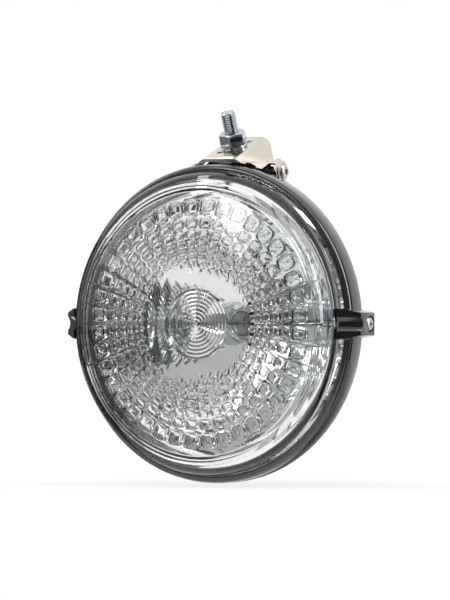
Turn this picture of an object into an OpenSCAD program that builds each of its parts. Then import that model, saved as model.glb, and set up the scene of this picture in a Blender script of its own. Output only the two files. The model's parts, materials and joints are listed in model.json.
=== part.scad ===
// Round work light on a swivelling saddle bracket.
// Millimetres. +Z is up and the lamp faces -Y.
// The origin is on the stud's axis, at the foot of the free thread above the nut.

/* [Lens] */
// Radius of the glass drum that stands out of the ring
lens_r = 81.2; // [76:0.1:83]
// How far the glass stands out in front of the ring, at its centre
lens_out = 23; // [20:0.5:27]
// Fall of the domed face from its centre to its shoulder
lens_fall = 4; // [3:0.5:6]
// Radius of the rounded shoulder
lens_shoulder = 12; // [9:0.5:14]
// Thickness of the glass
glass_t = 3; // [2.5:0.1:3.5]
// Thickness of the flange that the ring holds
lens_flange_t = 1.8; // [1.4:0.1:2.2]
// Divisions of the pattern in a full turn
lens_divisions = 40; // [32:4:44]
// Number of rings of cushions
knob_rows = 6; // [3:1:6]
// Distance from the drum's side in to the outermost cushions' middles
knob_ring_in = 18.9; // [17.5:0.1:22]
// Share of its division that a cushion fills
knob_fill = 0.93; // [0.8:0.01:0.95]
// Radial length of a cushion in the outermost ring
knob_long = 10.4; // [8:0.2:11]
// Radial length of a cushion in the second ring
knob_next_long = 6; // [4:0.2:6.4]
// How much smaller each further ring's cushions are
knob_shrink = 0.82; // [0.7:0.01:0.84]
// Glass between two rings of cushions
knob_gap = 0.5; // [0.4:0.1:1]
// Depth of a cushion in the outermost ring
knob_deep = 4.6; // [2:0.2:5]
// Depth of a cushion's crown, as a share of its whole depth
knob_crown = 0.26; // [0.15:0.01:0.35]
// Corner cut off a cushion, as a share of its shorter side
knob_corner = 0.22; // [0.1:0.01:0.3]
// Width of a cell in the side fields, as a share of a cushion's
cell_fill = 0.72; // [0.5:0.01:0.78]
// Depth of such a cell, as a share of a cushion's
cell_deep = 0.5; // [0.3:0.05:0.6]
// Distance between the moulded steps inside the glass's shoulder
shoulder_step = 2.2; // [1.6:0.1:2.4]
// Height of such a step
shoulder_step_h = 0.6; // [0.3:0.1:0.8]
// Ribs in each side field, on each side of the horizontal
side_ribs = 2; // [1:1:3]
// Width of a rib in the side fields
rib_w = 1.3; // [1:0.1:1.8]
// Depth of a rib in the side fields
rib_h = 2.4; // [1.5:0.1:3]
// Radius of the star that surrounds the middle
star_r = 33.6; // [30:0.2:34]
// Depth of the star's teeth
star_tooth = 2.4; // [1.5:0.1:3]
// Height of the star above the inner face
star_h = 0.9; // [0.6:0.1:1.4]
// Radius of the stepped disc in the middle
eye_r = 19.6; // [16:0.2:22]
// Width of one step of that disc
eye_step = 2.15; // [1.8:0.05:3]
// Height of one step
eye_h = 0.8; // [0.5:0.1:1.2]

/* [Retaining ring] */
// Width of the ring's front lip
ring_lip_w = 4; // [3.5:0.1:5]
// Depth of the ring from front to back
ring_d = 9; // [8.6:0.1:9.4]
// Thickness of the front lip over the glass
ring_lip_t = 1.5; // [1.2:0.1:1.8]
// Thickness of the ring's skirt
ring_skirt_t = 1.7; // [1.5:0.1:1.9]
// Chamfer on the ring's outer front edge
ring_chamfer = 0.6; // [0.3:0.1:1]
// Reach of a lug beyond the ring
lug_out = 5.6; // [4.5:0.1:7]
// How far a lug's inner edge stands in front of the ring
lug_front = 12; // [9:0.5:14]
// How far a lug's outer edge stands in front of the ring
lug_nose = 2.5; // [1:0.5:4]
// How far a lug reaches behind the ring's front
lug_back = 12.2; // [12:0.1:13.5]
// Height of a lug at the glass
lug_h_in = 16.5; // [14:0.5:19]
// Height of a lug at its outer face
lug_h_out = 12; // [11:0.5:14]
// Radius of the groove down a lug's slope
groove_r = 5; // [4:0.5:6]
// Depth of that groove
groove_d = 1.6; // [1:0.1:2]

/* [Ring screws] */
// Distance of the screws behind the ring's front
screw_back = 7.8; // [7.6:0.1:8]
// Radius of the screw's thread
screw_r = 2; // [1.6:0.1:2.1]
// Radius of the screw's head
screw_head_r = 3.9; // [3.6:0.1:4.1]
// Height of the screw's head
screw_head_h = 2.4; // [2:0.1:2.8]
// How far the head stands out of its recess
screw_head_out = 0.4; // [0.2:0.1:0.8]
// Length of the screw under its head
screw_len = 12; // [11:0.5:12.5]
// Gap between the screw's head and its recess
screw_head_room = 0.4; // [0.2:0.1:0.6]
// Wall of the housing's bosses round the screws
screw_boss_t = 1.8; // [1.5:0.1:2.2]

/* [Seals] */
// Thickness of the rubber ring behind the glass
lens_gasket_t = 1; // [0.8:0.1:1.2]
// Thickness of the foam ring in front of the housing
seat_gasket_t = 0.5; // [0.4:0.1:0.6]
// Width of the foam ring
seat_gasket_w = 2; // [1.5:0.1:2.5]
// Distance of the rubber ring outside the reflector's mouth
seal_out = 3; // [2:0.1:4]

/* [Reflector] */
// Focal length of the bowl
focus = 30; // [28:0.5:32]
// Distance from the glass drum's side in to the reflector's mouth
mouth_in = 8.2; // [8:0.1:11]
// Thickness of the reflector's sheet
reflector_t = 0.8; // [0.6:0.1:1]
// Radius of the reflector's neck
neck_r = 12.4; // [12:0.1:13]
// Length of the neck behind the bowl
neck_len = 3.6; // [3:0.1:4.5]
// Radius of the plate on the end of the neck
neck_plate_r = 18; // [17.5:0.5:20]
// Distance of the holder's screws in from the plate's edge
holder_screw_in = 2.6; // [2.4:0.1:2.8]

/* [Bulb] */
// Radius of the bulb's glass
bulb_r = 11.6; // [10:0.1:11.8]
// Distance from the bulb's pins to its filament
bulb_light = 31.8; // [30:0.1:33]
// Radius of the bayonet cap
cap_r = 7.5; // [7:0.1:7.7]
// Length of the cap
cap_len = 13; // [12:0.5:14]
// Reach of a bayonet pin out of the cap
cap_pin_out = 0.6; // [0.4:0.1:0.7]
// Distance from the cap's front back to its pins
cap_pin_back = 5; // [4:0.5:6]
// Wall of the cap round the glass
cap_t = 0.6; // [0.5:0.1:0.8]
// Height of the contact on the cap's end
cap_button_h = 0.8; // [0.6:0.1:1]
// Height of the cap's floor above its pins
cap_floor_up = 4; // [3:0.5:5]
// Height of the glass stem's end above the pins
stem_up = 7; // [6:0.5:8]
// Thickness of the bulb's glass
bulb_t = 0.8; // [0.6:0.1:1]
// Length of the filament's coil
coil_len = 6; // [4:0.5:8]
// Number of turns in the filament
coil_turns = 8; // [6:1:10]

/* [Bulb holder] */
// Wall of the holder's tube
holder_t = 0.8; // [0.6:0.1:1]
// How far the holder's tube reaches in front of its flange
holder_nose = 6.5; // [5:0.5:8]
// How far the holder's tube reaches behind the contact disc
holder_rim = 0.5; // [0.3:0.1:0.7]
// Radius of the contact disc's centre pin
contact_r = 1.8; // [1.5:0.1:2.2]
// How far the pin stands out behind the disc
pin_out = 0.7; // [0.5:0.1:1]
// Thickness of the pin's head
pin_head_t = 0.8; // [0.6:0.1:1]
// Reach of the pin's head beyond its shank
pin_head_out = 1.4; // [1:0.1:1.6]
// Thickness of the contact disc
disc_t = 2; // [1.5:0.1:2.5]
// Room for the contact spring between the disc and the cap
spring_room = 3; // [2.5:0.1:3.5]
// Width of a flat terminal
blade_w = 6.3; // [4.8:0.1:6.3]
// Thickness of a flat terminal
blade_t = 0.8; // [0.5:0.1:0.8]
// Length of the live terminal
live_blade_len = 3.5; // [3:0.5:6]
// Length of the earth terminal
earth_blade_len = 8; // [6:0.5:9]
// Radius of a holder screw's thread
holder_screw_r = 1.25; // [1:0.05:1.5]
// Radius of a holder screw's head
holder_screw_head_r = 2.2; // [2:0.1:2.4]
// Height of a holder screw's head
holder_screw_head_h = 1.2; // [1:0.1:1.6]

/* [Housing] */
// Distance from the reflector's mouth out to the bowl's outer side
bowl_out = 2; // [1.8:0.1:2.6]
// How far the bowl's centre lies in front of the ring's front
bowl_front = 3; // [2:0.5:4]
// Thickness of the housing's wall
wall_t = 2.5; // [2:0.1:2.8]
// Depth of the housing's rim behind its seat
rim_d = 6.4; // [6:0.1:6.8]
// Depth of the slope behind the rim
rim_slope = 3.5; // [2.5:0.1:4.5]
// Radius of the flat boss on the back
boss_r = 24; // [22:0.5:27]
// Height of that boss
boss_h = 6; // [4:0.5:8]
// Room behind the terminals, inside that boss
back_room = 2.3; // [2:0.1:5]
// Number of ribs on the back
back_ribs = 8; // [6:2:12]
// Thickness of a rib on the back
back_rib_t = 2; // [1.5:0.1:2.5]
// Height of those ribs above the bowl
back_rib_h = 2.2; // [1.5:0.1:3]

/* [Cable inlet] */
// Distance of the inlet below the lamp's axis
inlet_drop = 42; // [40:0.5:44]
// Outer radius of the inlet's spout
inlet_r = 9.5; // [9:0.1:10.5]
// Radius of the grommet's hole
cable_r = 3.4; // [3:0.1:3.6]
// Radius of the hole that holds the grommet
grommet_r = 6; // [5.5:0.1:6.3]
// Thickness of the wall that the grommet grips
inlet_wall = 3; // [2.5:0.1:3.5]
// Reach of the spout behind the bowl, at the inlet's centre
inlet_out = 7; // [6:0.5:9]
// Reach of the grommet's outer flange behind the spout
grommet_out = 2.5; // [2:0.1:3]
// Reach of its inner lip in front of the wall
grommet_lip = 2; // [1.5:0.1:2.5]

/* [Hinge] */
// Distance of the hinge inside the ring's outer radius
hinge_in = 3.7; // [2.5:0.1:3.9]
// Distance of the hinge behind the ring's front
hinge_back = 26.6; // [26.5:0.1:29]
// Radius of the hinge bolt
bolt_r = 2.5; // [2:0.1:2.6]
// Radius of the bolt's head
bolt_head_r = 4.2; // [4:0.1:5]
// Height of the bolt's head
bolt_head_h = 2; // [1.8:0.1:2.6]
// Size of the hinge nut across its flats
hinge_nut_af = 8; // [7.5:0.5:9]
// Height of the hinge nut
hinge_nut_h = 4; // [3.2:0.1:5]
// Thickness of a hinge washer
hinge_washer_t = 0.8; // [0.6:0.1:1.2]
// Outer radius of a hinge washer
hinge_washer_r = 5.2; // [5:0.1:6]
// Wall of the steel sleeve round the bolt
sleeve_t = 0.5; // [0.4:0.1:0.6]
// Radius of the hinge block's round top
block_r = 6.9; // [6.5:0.1:7]
// Radius of the hinge block's ends, between the ears
block_end_r = 4.1; // [3.8:0.1:4.2]

/* [Bracket] */
// Lean of the stud towards the lamp's face in this pose
stud_lean = 22; // [20:0.5:22]
// Thickness of the bracket's sheet
sheet_t = 1.6; // [1.4:0.1:1.8]
// Height of the web's top above the hinge
web_up = 14.6; // [14.4:0.1:15.6]
// Radius inside the bends of the sheet
bend_r = 0.8; // [0.6:0.1:1]
// Width of the flat web
web_w = 19.8; // [18:0.2:21]
// Length of the web from front to back
web_len = 33.4; // [32:0.2:34]
// How far the web's middle lies in front of the stud
web_front = 1.6; // [0:0.1:2]
// Fall of the flares beside the web, in degrees
flare_angle = 34.5; // [34:0.5:36]
// Height above the hinge of the tabs that carry the ears
tab_up = 6.2; // [6:0.1:6.6]
// Half the depth of those tabs
tab_half = 3.4; // [3:0.1:4]
// Distance of a notch behind the web's front edge
notch_back = 2.6; // [2:0.1:3]
// Distance of a notch below the web's top
notch_down = 6; // [5.6:0.1:6.2]
// Distance between the ears' outer faces
ears_w = 52.8; // [51:0.2:55]
// Radius of an ear
ear_r = 6.2; // [5.8:0.1:6.6]
// Radius of the small holes in the web
pip_r = 1.5; // [1:0.05:1.6]
// Distance of a small hole to the side of the stud
pip_x = 4.7; // [4:0.1:5.5]
// Distance of a small hole in front of the stud, or behind it
pip_y = 8.2; // [7.8:0.1:9]
// Radius of the notch in each flare's front edge
notch_r = 2.6; // [2:0.1:3]
// Radius of the web's rear corners
web_corner_r = 4.4; // [3:0.1:5]
// Slant of the flares' rear edges, in degrees from the web's rear edge
flare_slant = 59; // [55:1:62]

/* [Stud] */
// Radius of the stud
stud_r = 4; // [3.5:0.1:4]
// Length of the free thread
stud_free = 11.2; // [10:0.2:16]
// Radius at which the stud meets its nut's thread
stud_pitch_r = 3.6; // [3.3:0.05:3.7]
// Gap between the nut and the foot of the free thread
stud_foot = 0.3; // [0.2:0.1:0.5]
// Chamfer on the stud's tip
stud_tip = 0.8; // [0.5:0.1:1]
// Radius of the stud's low head under the web
stud_head_r = 7; // [6:0.1:7.5]
// Thickness of that head
stud_head_t = 3; // [2.5:0.1:3.2]
// Size of the stud nut across its flats
stud_nut_af = 13; // [12:0.5:14]
// Height of the stud nut
stud_nut_h = 6.5; // [5:0.1:7]
// Turn of the stud nut about the stud, in degrees
stud_nut_turn = 47; // [0:1:60]
// Outer radius of the flat washer
washer_r = 8; // [7.6:0.1:8.6]
// Thickness of the flat washer under the web
washer_t = 1.6; // [1.2:0.1:1.8]
// Outer radius of the spring washer
spring_washer_r = 7.1; // [7:0.1:7.5]
// Thickness of the spring washer
spring_washer_t = 2; // [1.6:0.1:2.4]

/* [Fits] */
// Radial clearance of a turning fit
turn_gap = 0.1; // [0.05:0.01:0.1]
// Gap between flat faces that turn on each other
face_gap = 0.05; // [0.02:0.01:0.1]
// Gap between pieces that stay put
fixed_gap = 0.05; // [0.02:0.01:0.1]
// Gap between the ears and the hinge block
ear_gap = 0.3; // [0.2:0.05:0.4]
// Radial gap round the glass
glass_gap = 0.2; // [0.1:0.05:0.4]

/* [Hidden] */
$fn = 96;

// The pile on the stud, measured up from the hinge
spring_washer_z = web_up + face_gap;
stud_nut_z = spring_washer_z + spring_washer_t + fixed_gap;
stud_top_z = stud_nut_z + stud_nut_h + stud_foot;
flat_washer_z = web_up - sheet_t - face_gap - washer_t;
stud_head_z = flat_washer_z - fixed_gap;

// Radii that follow the glass drum outwards and inwards
ring_r = lens_r + glass_gap + ring_lip_w;
mouth_r = lens_r - mouth_in;
bowl_r = mouth_r + bowl_out;
hinge_up = ring_r - hinge_in;
knob_ring_r = lens_r - knob_ring_in;

// The pile at the rim, measured forwards from the ring's front
flange_front = -ring_lip_t - fixed_gap;
flange_back = flange_front - lens_flange_t;
lens_gasket_back = flange_back - fixed_gap - lens_gasket_t;
reflector_front = lens_gasket_back - fixed_gap;
reflector_flange_back = reflector_front - reflector_t;
seat_gasket_back = reflector_flange_back - fixed_gap - seat_gasket_t;
seat = seat_gasket_back - fixed_gap;
skirt_in = ring_r - ring_skirt_t;
rim_r = skirt_in - glass_gap;
seal_in = mouth_r + seal_out;
rim_back = seat - rim_d;

// The glass
dome_r = (pow(lens_r - lens_shoulder, 2) + pow(lens_fall, 2)) / (2 * lens_fall);
dome_centre = lens_out - dome_r;
inner_dome_r = dome_r - glass_t;
half_turn = 180;
division = 2 * half_turn / lens_divisions;
field_half = side_ribs * division;

// The reflector, bulb and holder
bowl_vertex = reflector_front - mouth_r * mouth_r / (4 * focus);
neck_front = bowl_vertex + neck_r * neck_r / (4 * focus);
neck_back = neck_front - neck_len;
filament_at = bowl_vertex + focus;
pins_at = filament_at - bulb_light;
holder_in = cap_r + cap_pin_out + fixed_gap;
holder_out = holder_in + holder_t;
flange_at = neck_back - reflector_t - fixed_gap;
cap_back = pins_at - cap_len + cap_pin_back;
button_back = cap_back - cap_button_h;
cap_bore_r = cap_r - cap_t + fixed_gap;
cap_floor = pins_at + cap_floor_up;
disc_front = button_back - spring_room;
disc_back = disc_front - disc_t;
holder_front = flange_at + holder_nose;
holder_back = disc_back - holder_rim;
pin_back = disc_back - pin_out;
stem_front = pins_at + stem_up;
back_d = -(pin_back - fixed_gap - live_blade_len - back_room - wall_t);

// The hinge and the bracket
ear_out = ears_w / 2;
ear_in = ear_out - sheet_t;
block_half = ear_in - ear_gap;
flare_foot = web_w / 2 + (web_up - tab_up) / tan(flare_angle);
block_inner = flare_foot - sheet_t - ear_gap - (block_r - tab_up + sheet_t) / tan(flare_angle);
block_outer = block_inner + (block_r - block_end_r) / tan(flare_angle);
sleeve_r = bolt_r + turn_gap + sleeve_t;
inlet_back = bowl_front - sqrt(bowl_r * bowl_r - inlet_drop * inlet_drop) - inlet_out;
screw_floor = ring_r + lug_out + screw_head_out - screw_head_h;
screw_tip = screw_floor + fixed_gap - screw_len;
tiny = 0.01;

// Places children in the bracket's frame: origin on the hinge, +Z along the stud
module at_bracket() {
    rotate([stud_lean, 0, 0])
        translate([0, 0, -stud_top_z])
            children();
}

// Places children in the lamp's frame: origin in the ring's front, +Z forwards, +Y up
module at_lamp() {
    translate([0,
        stud_top_z * sin(stud_lean) - hinge_back,
        -stud_top_z * cos(stud_lean) - hinge_up])
        rotate([90, 0, 0])
            children();
}

// A cylinder along X, centred
module bar_x(r, length) {
    rotate([0, 90, 0])
        cylinder(r = r, h = length, center = true);
}

// A hexagonal prism of a size across flats
module hexagon(af, h) {
    intersection() {
        cylinder(r = af / 2 / cos(30), h = h, $fn = 6);
        translate([0, 0, h / 2])
            sphere(r = sqrt(pow(af / 2 + 0.35, 2) + pow(h / 2, 2)));
    }
}

// A flat ring
module washer(r_out, r_in, t) {
    difference() {
        cylinder(r = r_out, h = t);
        translate([0, 0, -1])
            cylinder(r = r_in, h = t + 2);
    }
}

// A flat ring of the lamp, between two distances in front of the ring
module lamp_ring(r_out, r_in, back, front) {
    translate([0, 0, back])
        washer(r_out, r_in, front - back);
}

// The height of the glass's inner face at a radius
function inner_face(r) = dome_centre + sqrt(inner_dome_r * inner_dome_r - r * r);

// The half section inside the drum's outline, drawn in by some thickness
module drum_section(inset) {
    shoulder_x = lens_r - lens_shoulder;
    shoulder_y = lens_out - lens_fall - lens_shoulder;
    intersection() {
        translate([0, dome_centre])
            circle(r = dome_r - inset, $fn = 720);
        union() {
            translate([0, -lens_r])
                square([lens_r - inset, lens_r + shoulder_y]);
            translate([0, shoulder_y - tiny])
                square([shoulder_x, lens_shoulder + lens_fall]);
            translate([shoulder_x, shoulder_y])
                circle(r = lens_shoulder - inset);
        }
    }
}

// The smooth glass, before its optics
module glass_shell() {
    rotate_extrude()
        intersection() {
            difference() {
                union() {
                    drum_section(0);
                    translate([0, flange_back])
                        square([skirt_in - glass_gap, lens_flange_t]);
                }
                drum_section(glass_t);
            }
            translate([0, flange_back])
                square([ring_r, lens_r]);
        }
}

// The length, place, width and depth of the cushions in a ring, each ring inside the last
function row_long(i) = i == 0 ? knob_long : knob_next_long * pow(knob_shrink, i - 1);
function row_r(i) = i == 0 ? knob_ring_r : row_r(i - 1) - (row_long(i - 1) + row_long(i)) / 2 - knob_gap;
function row_wide(i) = 2 * knob_fill * row_r(i) * sin(division / 2);
function row_deep(i) = knob_deep * pow(knob_shrink, i);

// Rings of cushions above and below the side fields
module knobs() {
    per_half = round((half_turn - 2 * field_half) / division);
    for (half = [0, half_turn], row = [0 : knob_rows - 1], k = [0 : per_half - 1])
        rotate([0, 0, half + field_half + (k + 0.5) * division])
            translate([row_r(row), 0, inner_face(row_r(row))])
                cushion(row_long(row), row_wide(row), row_deep(row));
}

// One cushion: a block with cut corners and a crowned underside, its root in the glass
module cushion(long, wide, deep) {
    x = long / 2;
    y = wide / 2;
    cut = knob_corner * min(long, wide);
    crown = knob_crown * deep;
    crown_r = (x * x + crown * crown) / (2 * crown);
    intersection() {
        translate([0, 0, -deep])
            linear_extrude(height = deep + glass_t / 2)
                polygon([[-x, cut - y], [cut - x, -y], [x - cut, -y], [x, cut - y],
                    [x, y - cut], [x - cut, y], [cut - x, y], [-x, y - cut]]);
        translate([0, 0, crown_r - deep])
            rotate([90, 0, 0])
                cylinder(r = crown_r, h = 2 * wide, center = true);
    }
}

// Moulded steps that run round inside the shoulder
module shoulder_steps() {
    shoulder_in = lens_shoulder - glass_t;
    for (i = [1 : 3]) {
        x = i * shoulder_step;
        rise = sqrt(shoulder_in * shoulder_in - x * x);
        rotate_extrude()
            translate([lens_r - lens_shoulder + x, lens_out - lens_fall - lens_shoulder + rise])
                polygon([[-shoulder_step_h, glass_t / 3], [0, -shoulder_step_h], [shoulder_step_h, 0],
                    [shoulder_step_h, glass_t / 3]]);
    }
}

// A wire wound on a cylinder: an unbroken tube with closed ends
module helix(r, wire, height, turns, sides = 6, per_turn = 12) {
    steps = turns * per_turn;
    points = [for (i = [0 : steps], k = [0 : sides - 1])
        let (a = 360 * i / per_turn, b = 360 * k / sides, d = r + wire * cos(b))
        [d * cos(a), d * sin(a), wire * sin(b) + (height - 2 * wire) * i / steps + wire]];
    walls = [for (i = [0 : steps - 1], k = [0 : sides - 1])
        let (n = (k + 1) % sides, p = i * sides, q = p + sides)
        [p + n, q + n, q + k, p + k]];
    ends = [[for (k = [sides - 1 : -1 : 0]) k], [for (k = [0 : sides - 1]) steps * sides + k]];
    polyhedron(points, concat(walls, ends));
}

// Radial ribs with rows of shallow cells between them, in one side field
module side_field() {
    last = knob_rows - 1;
    r_in = row_r(last) - row_long(last) / 2;
    r_out = knob_ring_r + knob_long / 2;
    for (i = [-side_ribs : side_ribs])
        rotate([0, 0, i * division])
            translate([r_in, -rib_w / 2, inner_face(r_out) - rib_h])
                cube([r_out + rib_w - r_in, rib_w, rib_h + glass_t / 2]);
    for (row = [0 : last], k = [-side_ribs : side_ribs - 1])
        rotate([0, 0, (k + 0.5) * division])
            translate([row_r(row), 0, inner_face(row_r(row))])
                cushion(row_long(row), cell_fill * row_wide(row), cell_deep * row_deep(row));
}

// A star-edged plate and a stepped disc in the middle of the lens
module star() {
    base = inner_face(star_r) - star_h;
    outline = [for (i = [0 : 2 * lens_divisions - 1])
        (star_r - (i % 2) * star_tooth) * [cos(i * division / 2), sin(i * division / 2)]];
    translate([0, 0, base])
        linear_extrude(height = star_h + glass_t / 2)
            polygon(outline);
}

module eye_steps() {
    base = inner_face(star_r) - star_h;
    steps = floor(eye_r / eye_step);
    rotate_extrude()
        polygon([
            [0, base + 1], [0, base],
            for (i = [0 : steps - 1]) each [
                [eye_r - (steps - i) * eye_step + tiny, base - eye_h],
                [eye_r - (steps - i - 1) * eye_step, base]],
            [eye_r + 1, base - eye_h], [eye_r + 1, base + 1]]);
}

module lens() {
    color("aliceblue", 0.4)
        at_lamp()
            union() {
                glass_shell();
                knobs();
                side_field();
                rotate([0, 0, half_turn])
                    side_field();
                shoulder_steps();
                star();
                eye_steps();
            }
}

// One lug, on the +X side: a wedge that tapers outwards
module lug() {
    x_in = lens_r + glass_gap;
    x_out = ring_r + lug_out;
    depth = lug_front + lug_back;
    slope = atan2(lug_front - lug_nose, x_out - x_in);
    run = norm([lug_front - lug_nose, x_out - x_in]);
    difference() {
        intersection() {
            translate([0, -lug_h_in / 2, 0])
                rotate([-90, 0, 0])
                    linear_extrude(height = lug_h_in)
                        polygon([[x_in, -lug_front], [x_in, 0], [skirt_in, 0], [skirt_in, lug_back],
                            [x_out, lug_back], [x_out, -lug_nose]]);
            translate([0, 0, -lug_back])
                linear_extrude(height = depth)
                    polygon([[x_in, -lug_h_in / 2], [x_out, -lug_h_out / 2],
                        [x_out, lug_h_out / 2], [x_in, lug_h_in / 2]]);
        }
        translate([x_in, 0, lug_front])
            rotate([0, slope, 0])
                translate([0, 0, groove_r - groove_d])
                    bar_x(groove_r, 3 * run);
    }
}

module retaining_ring() {
    color("dimgray")
        at_lamp()
            difference() {
                union() {
                    rotate_extrude()
                        polygon([[lens_r + glass_gap, 0], [ring_r - ring_chamfer, 0],
                            [ring_r, -ring_chamfer], [ring_r, -ring_d], [skirt_in, -ring_d],
                            [skirt_in, -ring_lip_t], [lens_r + glass_gap, -ring_lip_t]]);
                    lug();
                    mirror([1, 0, 0])
                        lug();
                }
                ring_screw_holes(screw_r + fixed_gap, screw_head_r + screw_head_room);
            }
}

// The two screws' holes and head recesses
module ring_screw_holes(hole_r, recess_r) {
    for (side = [0, 180])
        rotate([0, 0, side])
            translate([0, 0, -screw_back])
                rotate([0, 90, 0]) {
                    translate([0, 0, mouth_r])
                        cylinder(r = hole_r, h = lug_out + ring_r);
                    translate([0, 0, screw_floor])
                        cylinder(r = recess_r, h = ring_r);
                }
}

module ring_screws() {
    head_ball = (screw_head_r * screw_head_r + screw_head_h * screw_head_h) / (2 * screw_head_h) + 2;
    color("silver")
        at_lamp()
            for (side = [0, 180])
                rotate([0, 0, side])
                    translate([screw_floor + fixed_gap, 0, -screw_back])
                        rotate([0, 90, 0]) {
                            intersection() {
                                cylinder(r = screw_head_r, h = screw_head_h);
                                translate([0, 0, screw_head_h - head_ball])
                                    sphere(r = head_ball);
                            }
                            translate([0, 0, -screw_len])
                                cylinder(r = screw_r, h = screw_len + 1);
                        }
}

module lens_gasket() {
    color("black")
        at_lamp()
            lamp_ring(rim_r, seal_in, lens_gasket_back, flange_back - fixed_gap);
}

module seat_gasket() {
    color("darkslategray")
        at_lamp()
            lamp_ring(rim_r, rim_r - seat_gasket_w, seat_gasket_back, reflector_flange_back - fixed_gap);
}

// The bowl's inner curve, from the neck out to the mouth
bowl_curve = [for (i = [0 : 16])
    let (r = neck_r + (mouth_r - neck_r) * i / 16)
    [r, bowl_vertex + r * r / (4 * focus)]];

module reflector() {
    last = len(bowl_curve) - 1;
    color("lightgray")
        at_lamp()
            difference() {
                rotate_extrude()
                    polygon(concat(
                        bowl_curve,
                        [[rim_r, reflector_front], [rim_r, reflector_flange_back],
                            [mouth_r + reflector_t, reflector_flange_back]],
                        [for (i = [last : -1 : 0]) bowl_curve[i] + [reflector_t, -reflector_t * 0.6]],
                        [[neck_r + reflector_t, neck_back], [neck_plate_r, neck_back],
                            [neck_plate_r, neck_back - reflector_t], [neck_r, neck_back - reflector_t]]));
                holder_screw_places()
                    translate([0, 0, neck_back - neck_len])
                        cylinder(r = holder_screw_r + fixed_gap, h = 2 * neck_len, $fn = 32);
            }
}

module holder_screw_places() {
    for (side = [90, 270])
        rotate([0, 0, side])
            translate([neck_plate_r - holder_screw_in, 0, 0])
                children();
}

module bulb_glass() {
    neck = cap_bore_r - fixed_gap;
    color("white", 0.4)
        at_lamp() {
            difference() {
                union() {
                    translate([0, 0, filament_at])
                        sphere(r = bulb_r);
                    translate([0, 0, cap_floor])
                        cylinder(r = neck, h = filament_at - cap_floor);
                }
                translate([0, 0, filament_at])
                    sphere(r = bulb_r - bulb_t);
                translate([0, 0, stem_front])
                    cylinder(r = neck - bulb_t, h = filament_at - stem_front);
            }
        }
}

// The coil between its two posts
module bulb_filament() {
    coil_r = 0.7;
    wire = 0.15;
    post_r = 0.3;
    color("orange")
        at_lamp() {
            translate([-coil_len / 2, 0, filament_at])
                rotate([0, 90, 0])
                    helix(coil_r, wire, coil_len, coil_turns, 4, 8);
            for (side = [-1, 1])
                translate([side * (coil_len / 2 + post_r), 0, stem_front + fixed_gap])
                    cylinder(r = post_r, h = filament_at + coil_r + wire - stem_front - fixed_gap, $fn = 24);
        }
}

module bulb_cap() {
    color("goldenrod")
        at_lamp() {
            difference() {
                translate([0, 0, cap_back])
                    cylinder(r = cap_r, h = cap_len);
                translate([0, 0, cap_floor - fixed_gap])
                    cylinder(r = cap_bore_r, h = cap_len);
            }
            translate([0, 0, pins_at])
                bar_x(1, 2 * (cap_r + cap_pin_out));
            translate([0, 0, button_back])
                cylinder(r = contact_r + 0.4, h = cap_button_h + tiny);
        }
}

module bulb_holder() {
    color("silver")
        at_lamp()
            difference() {
                union() {
                    translate([0, 0, holder_back])
                        cylinder(r = holder_out, h = holder_front - holder_back);
                    translate([0, 0, flange_at - holder_t])
                        cylinder(r = neck_plate_r - 0.2, h = holder_t);
                }
                translate([0, 0, holder_back - 1])
                    cylinder(r = holder_in, h = holder_front - holder_back + 2);
                holder_screw_places()
                    translate([0, 0, flange_at - neck_len])
                        cylinder(r = holder_screw_r + fixed_gap, h = 2 * neck_len, $fn = 32);
            }
}

module holder_screws() {
    color("silver")
        at_lamp()
            holder_screw_places()
                translate([0, 0, flange_at - holder_t - fixed_gap]) {
                    translate([0, 0, -holder_screw_head_h])
                        cylinder(r = holder_screw_head_r, h = holder_screw_head_h, $fn = 32);
                    cylinder(r = holder_screw_r, h = holder_t + reflector_t + 1.4, $fn = 32);
                }
}

module contact_disc() {
    color("saddlebrown")
        at_lamp()
            translate([0, 0, disc_back])
                washer(holder_in - fixed_gap, contact_r + fixed_gap, disc_t);
}

// A headed pin, pressed against the cap's button by the spring
module contact_pin() {
    color("goldenrod")
        at_lamp() {
            translate([0, 0, pin_back])
                cylinder(r = contact_r, h = button_back - fixed_gap - pin_back);
            translate([0, 0, button_back - fixed_gap - pin_head_t])
                cylinder(r = contact_r + pin_head_out, h = pin_head_t);
        }
}

module contact_spring() {
    wire = 0.3;
    color("silver")
        at_lamp()
            translate([0, 0, disc_front + fixed_gap])
                helix(contact_r + 0.7, wire, spring_room - pin_head_t - 3 * fixed_gap, 2);
}

module live_blade() {
    color("goldenrod")
        at_lamp()
            translate([-blade_w / 2, -blade_t / 2, pin_back - fixed_gap - live_blade_len])
                cube([blade_w, blade_t, live_blade_len]);
}

module earth_blade() {
    color("goldenrod")
        at_lamp()
            translate([(holder_out + neck_plate_r) / 2 - blade_t, -blade_w / 2,
                flange_at - holder_t - fixed_gap - earth_blade_len])
                cube([blade_t, blade_w, earth_blade_len]);
}

// The housing's outline, drawn in by some thickness, as a half section
module bowl_section(inset) {
    floor_z = boss_h - back_d + inset;
    intersection() {
        translate([0, bowl_front])
            circle(r = bowl_r - inset, $fn = 360);
        translate([0, floor_z])
            square([bowl_r, seat - floor_z]);
    }
    translate([0, -back_d + inset])
        square([boss_r - inset, back_d / 3]);
}

module housing_shell() {
    rotate_extrude()
        difference() {
            union() {
                bowl_section(0);
                translate([0, rim_back])
                    square([rim_r, rim_d]);
                polygon([[0, rim_back], [rim_r, rim_back], [bowl_r - 2 * bowl_out, rim_back - rim_slope],
                    [0, rim_back - rim_slope]]);
            }
            bowl_section(wall_t);
            translate([0, rim_back + wall_t])
                square([rim_r - wall_t, rim_d]);
        }
}

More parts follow.
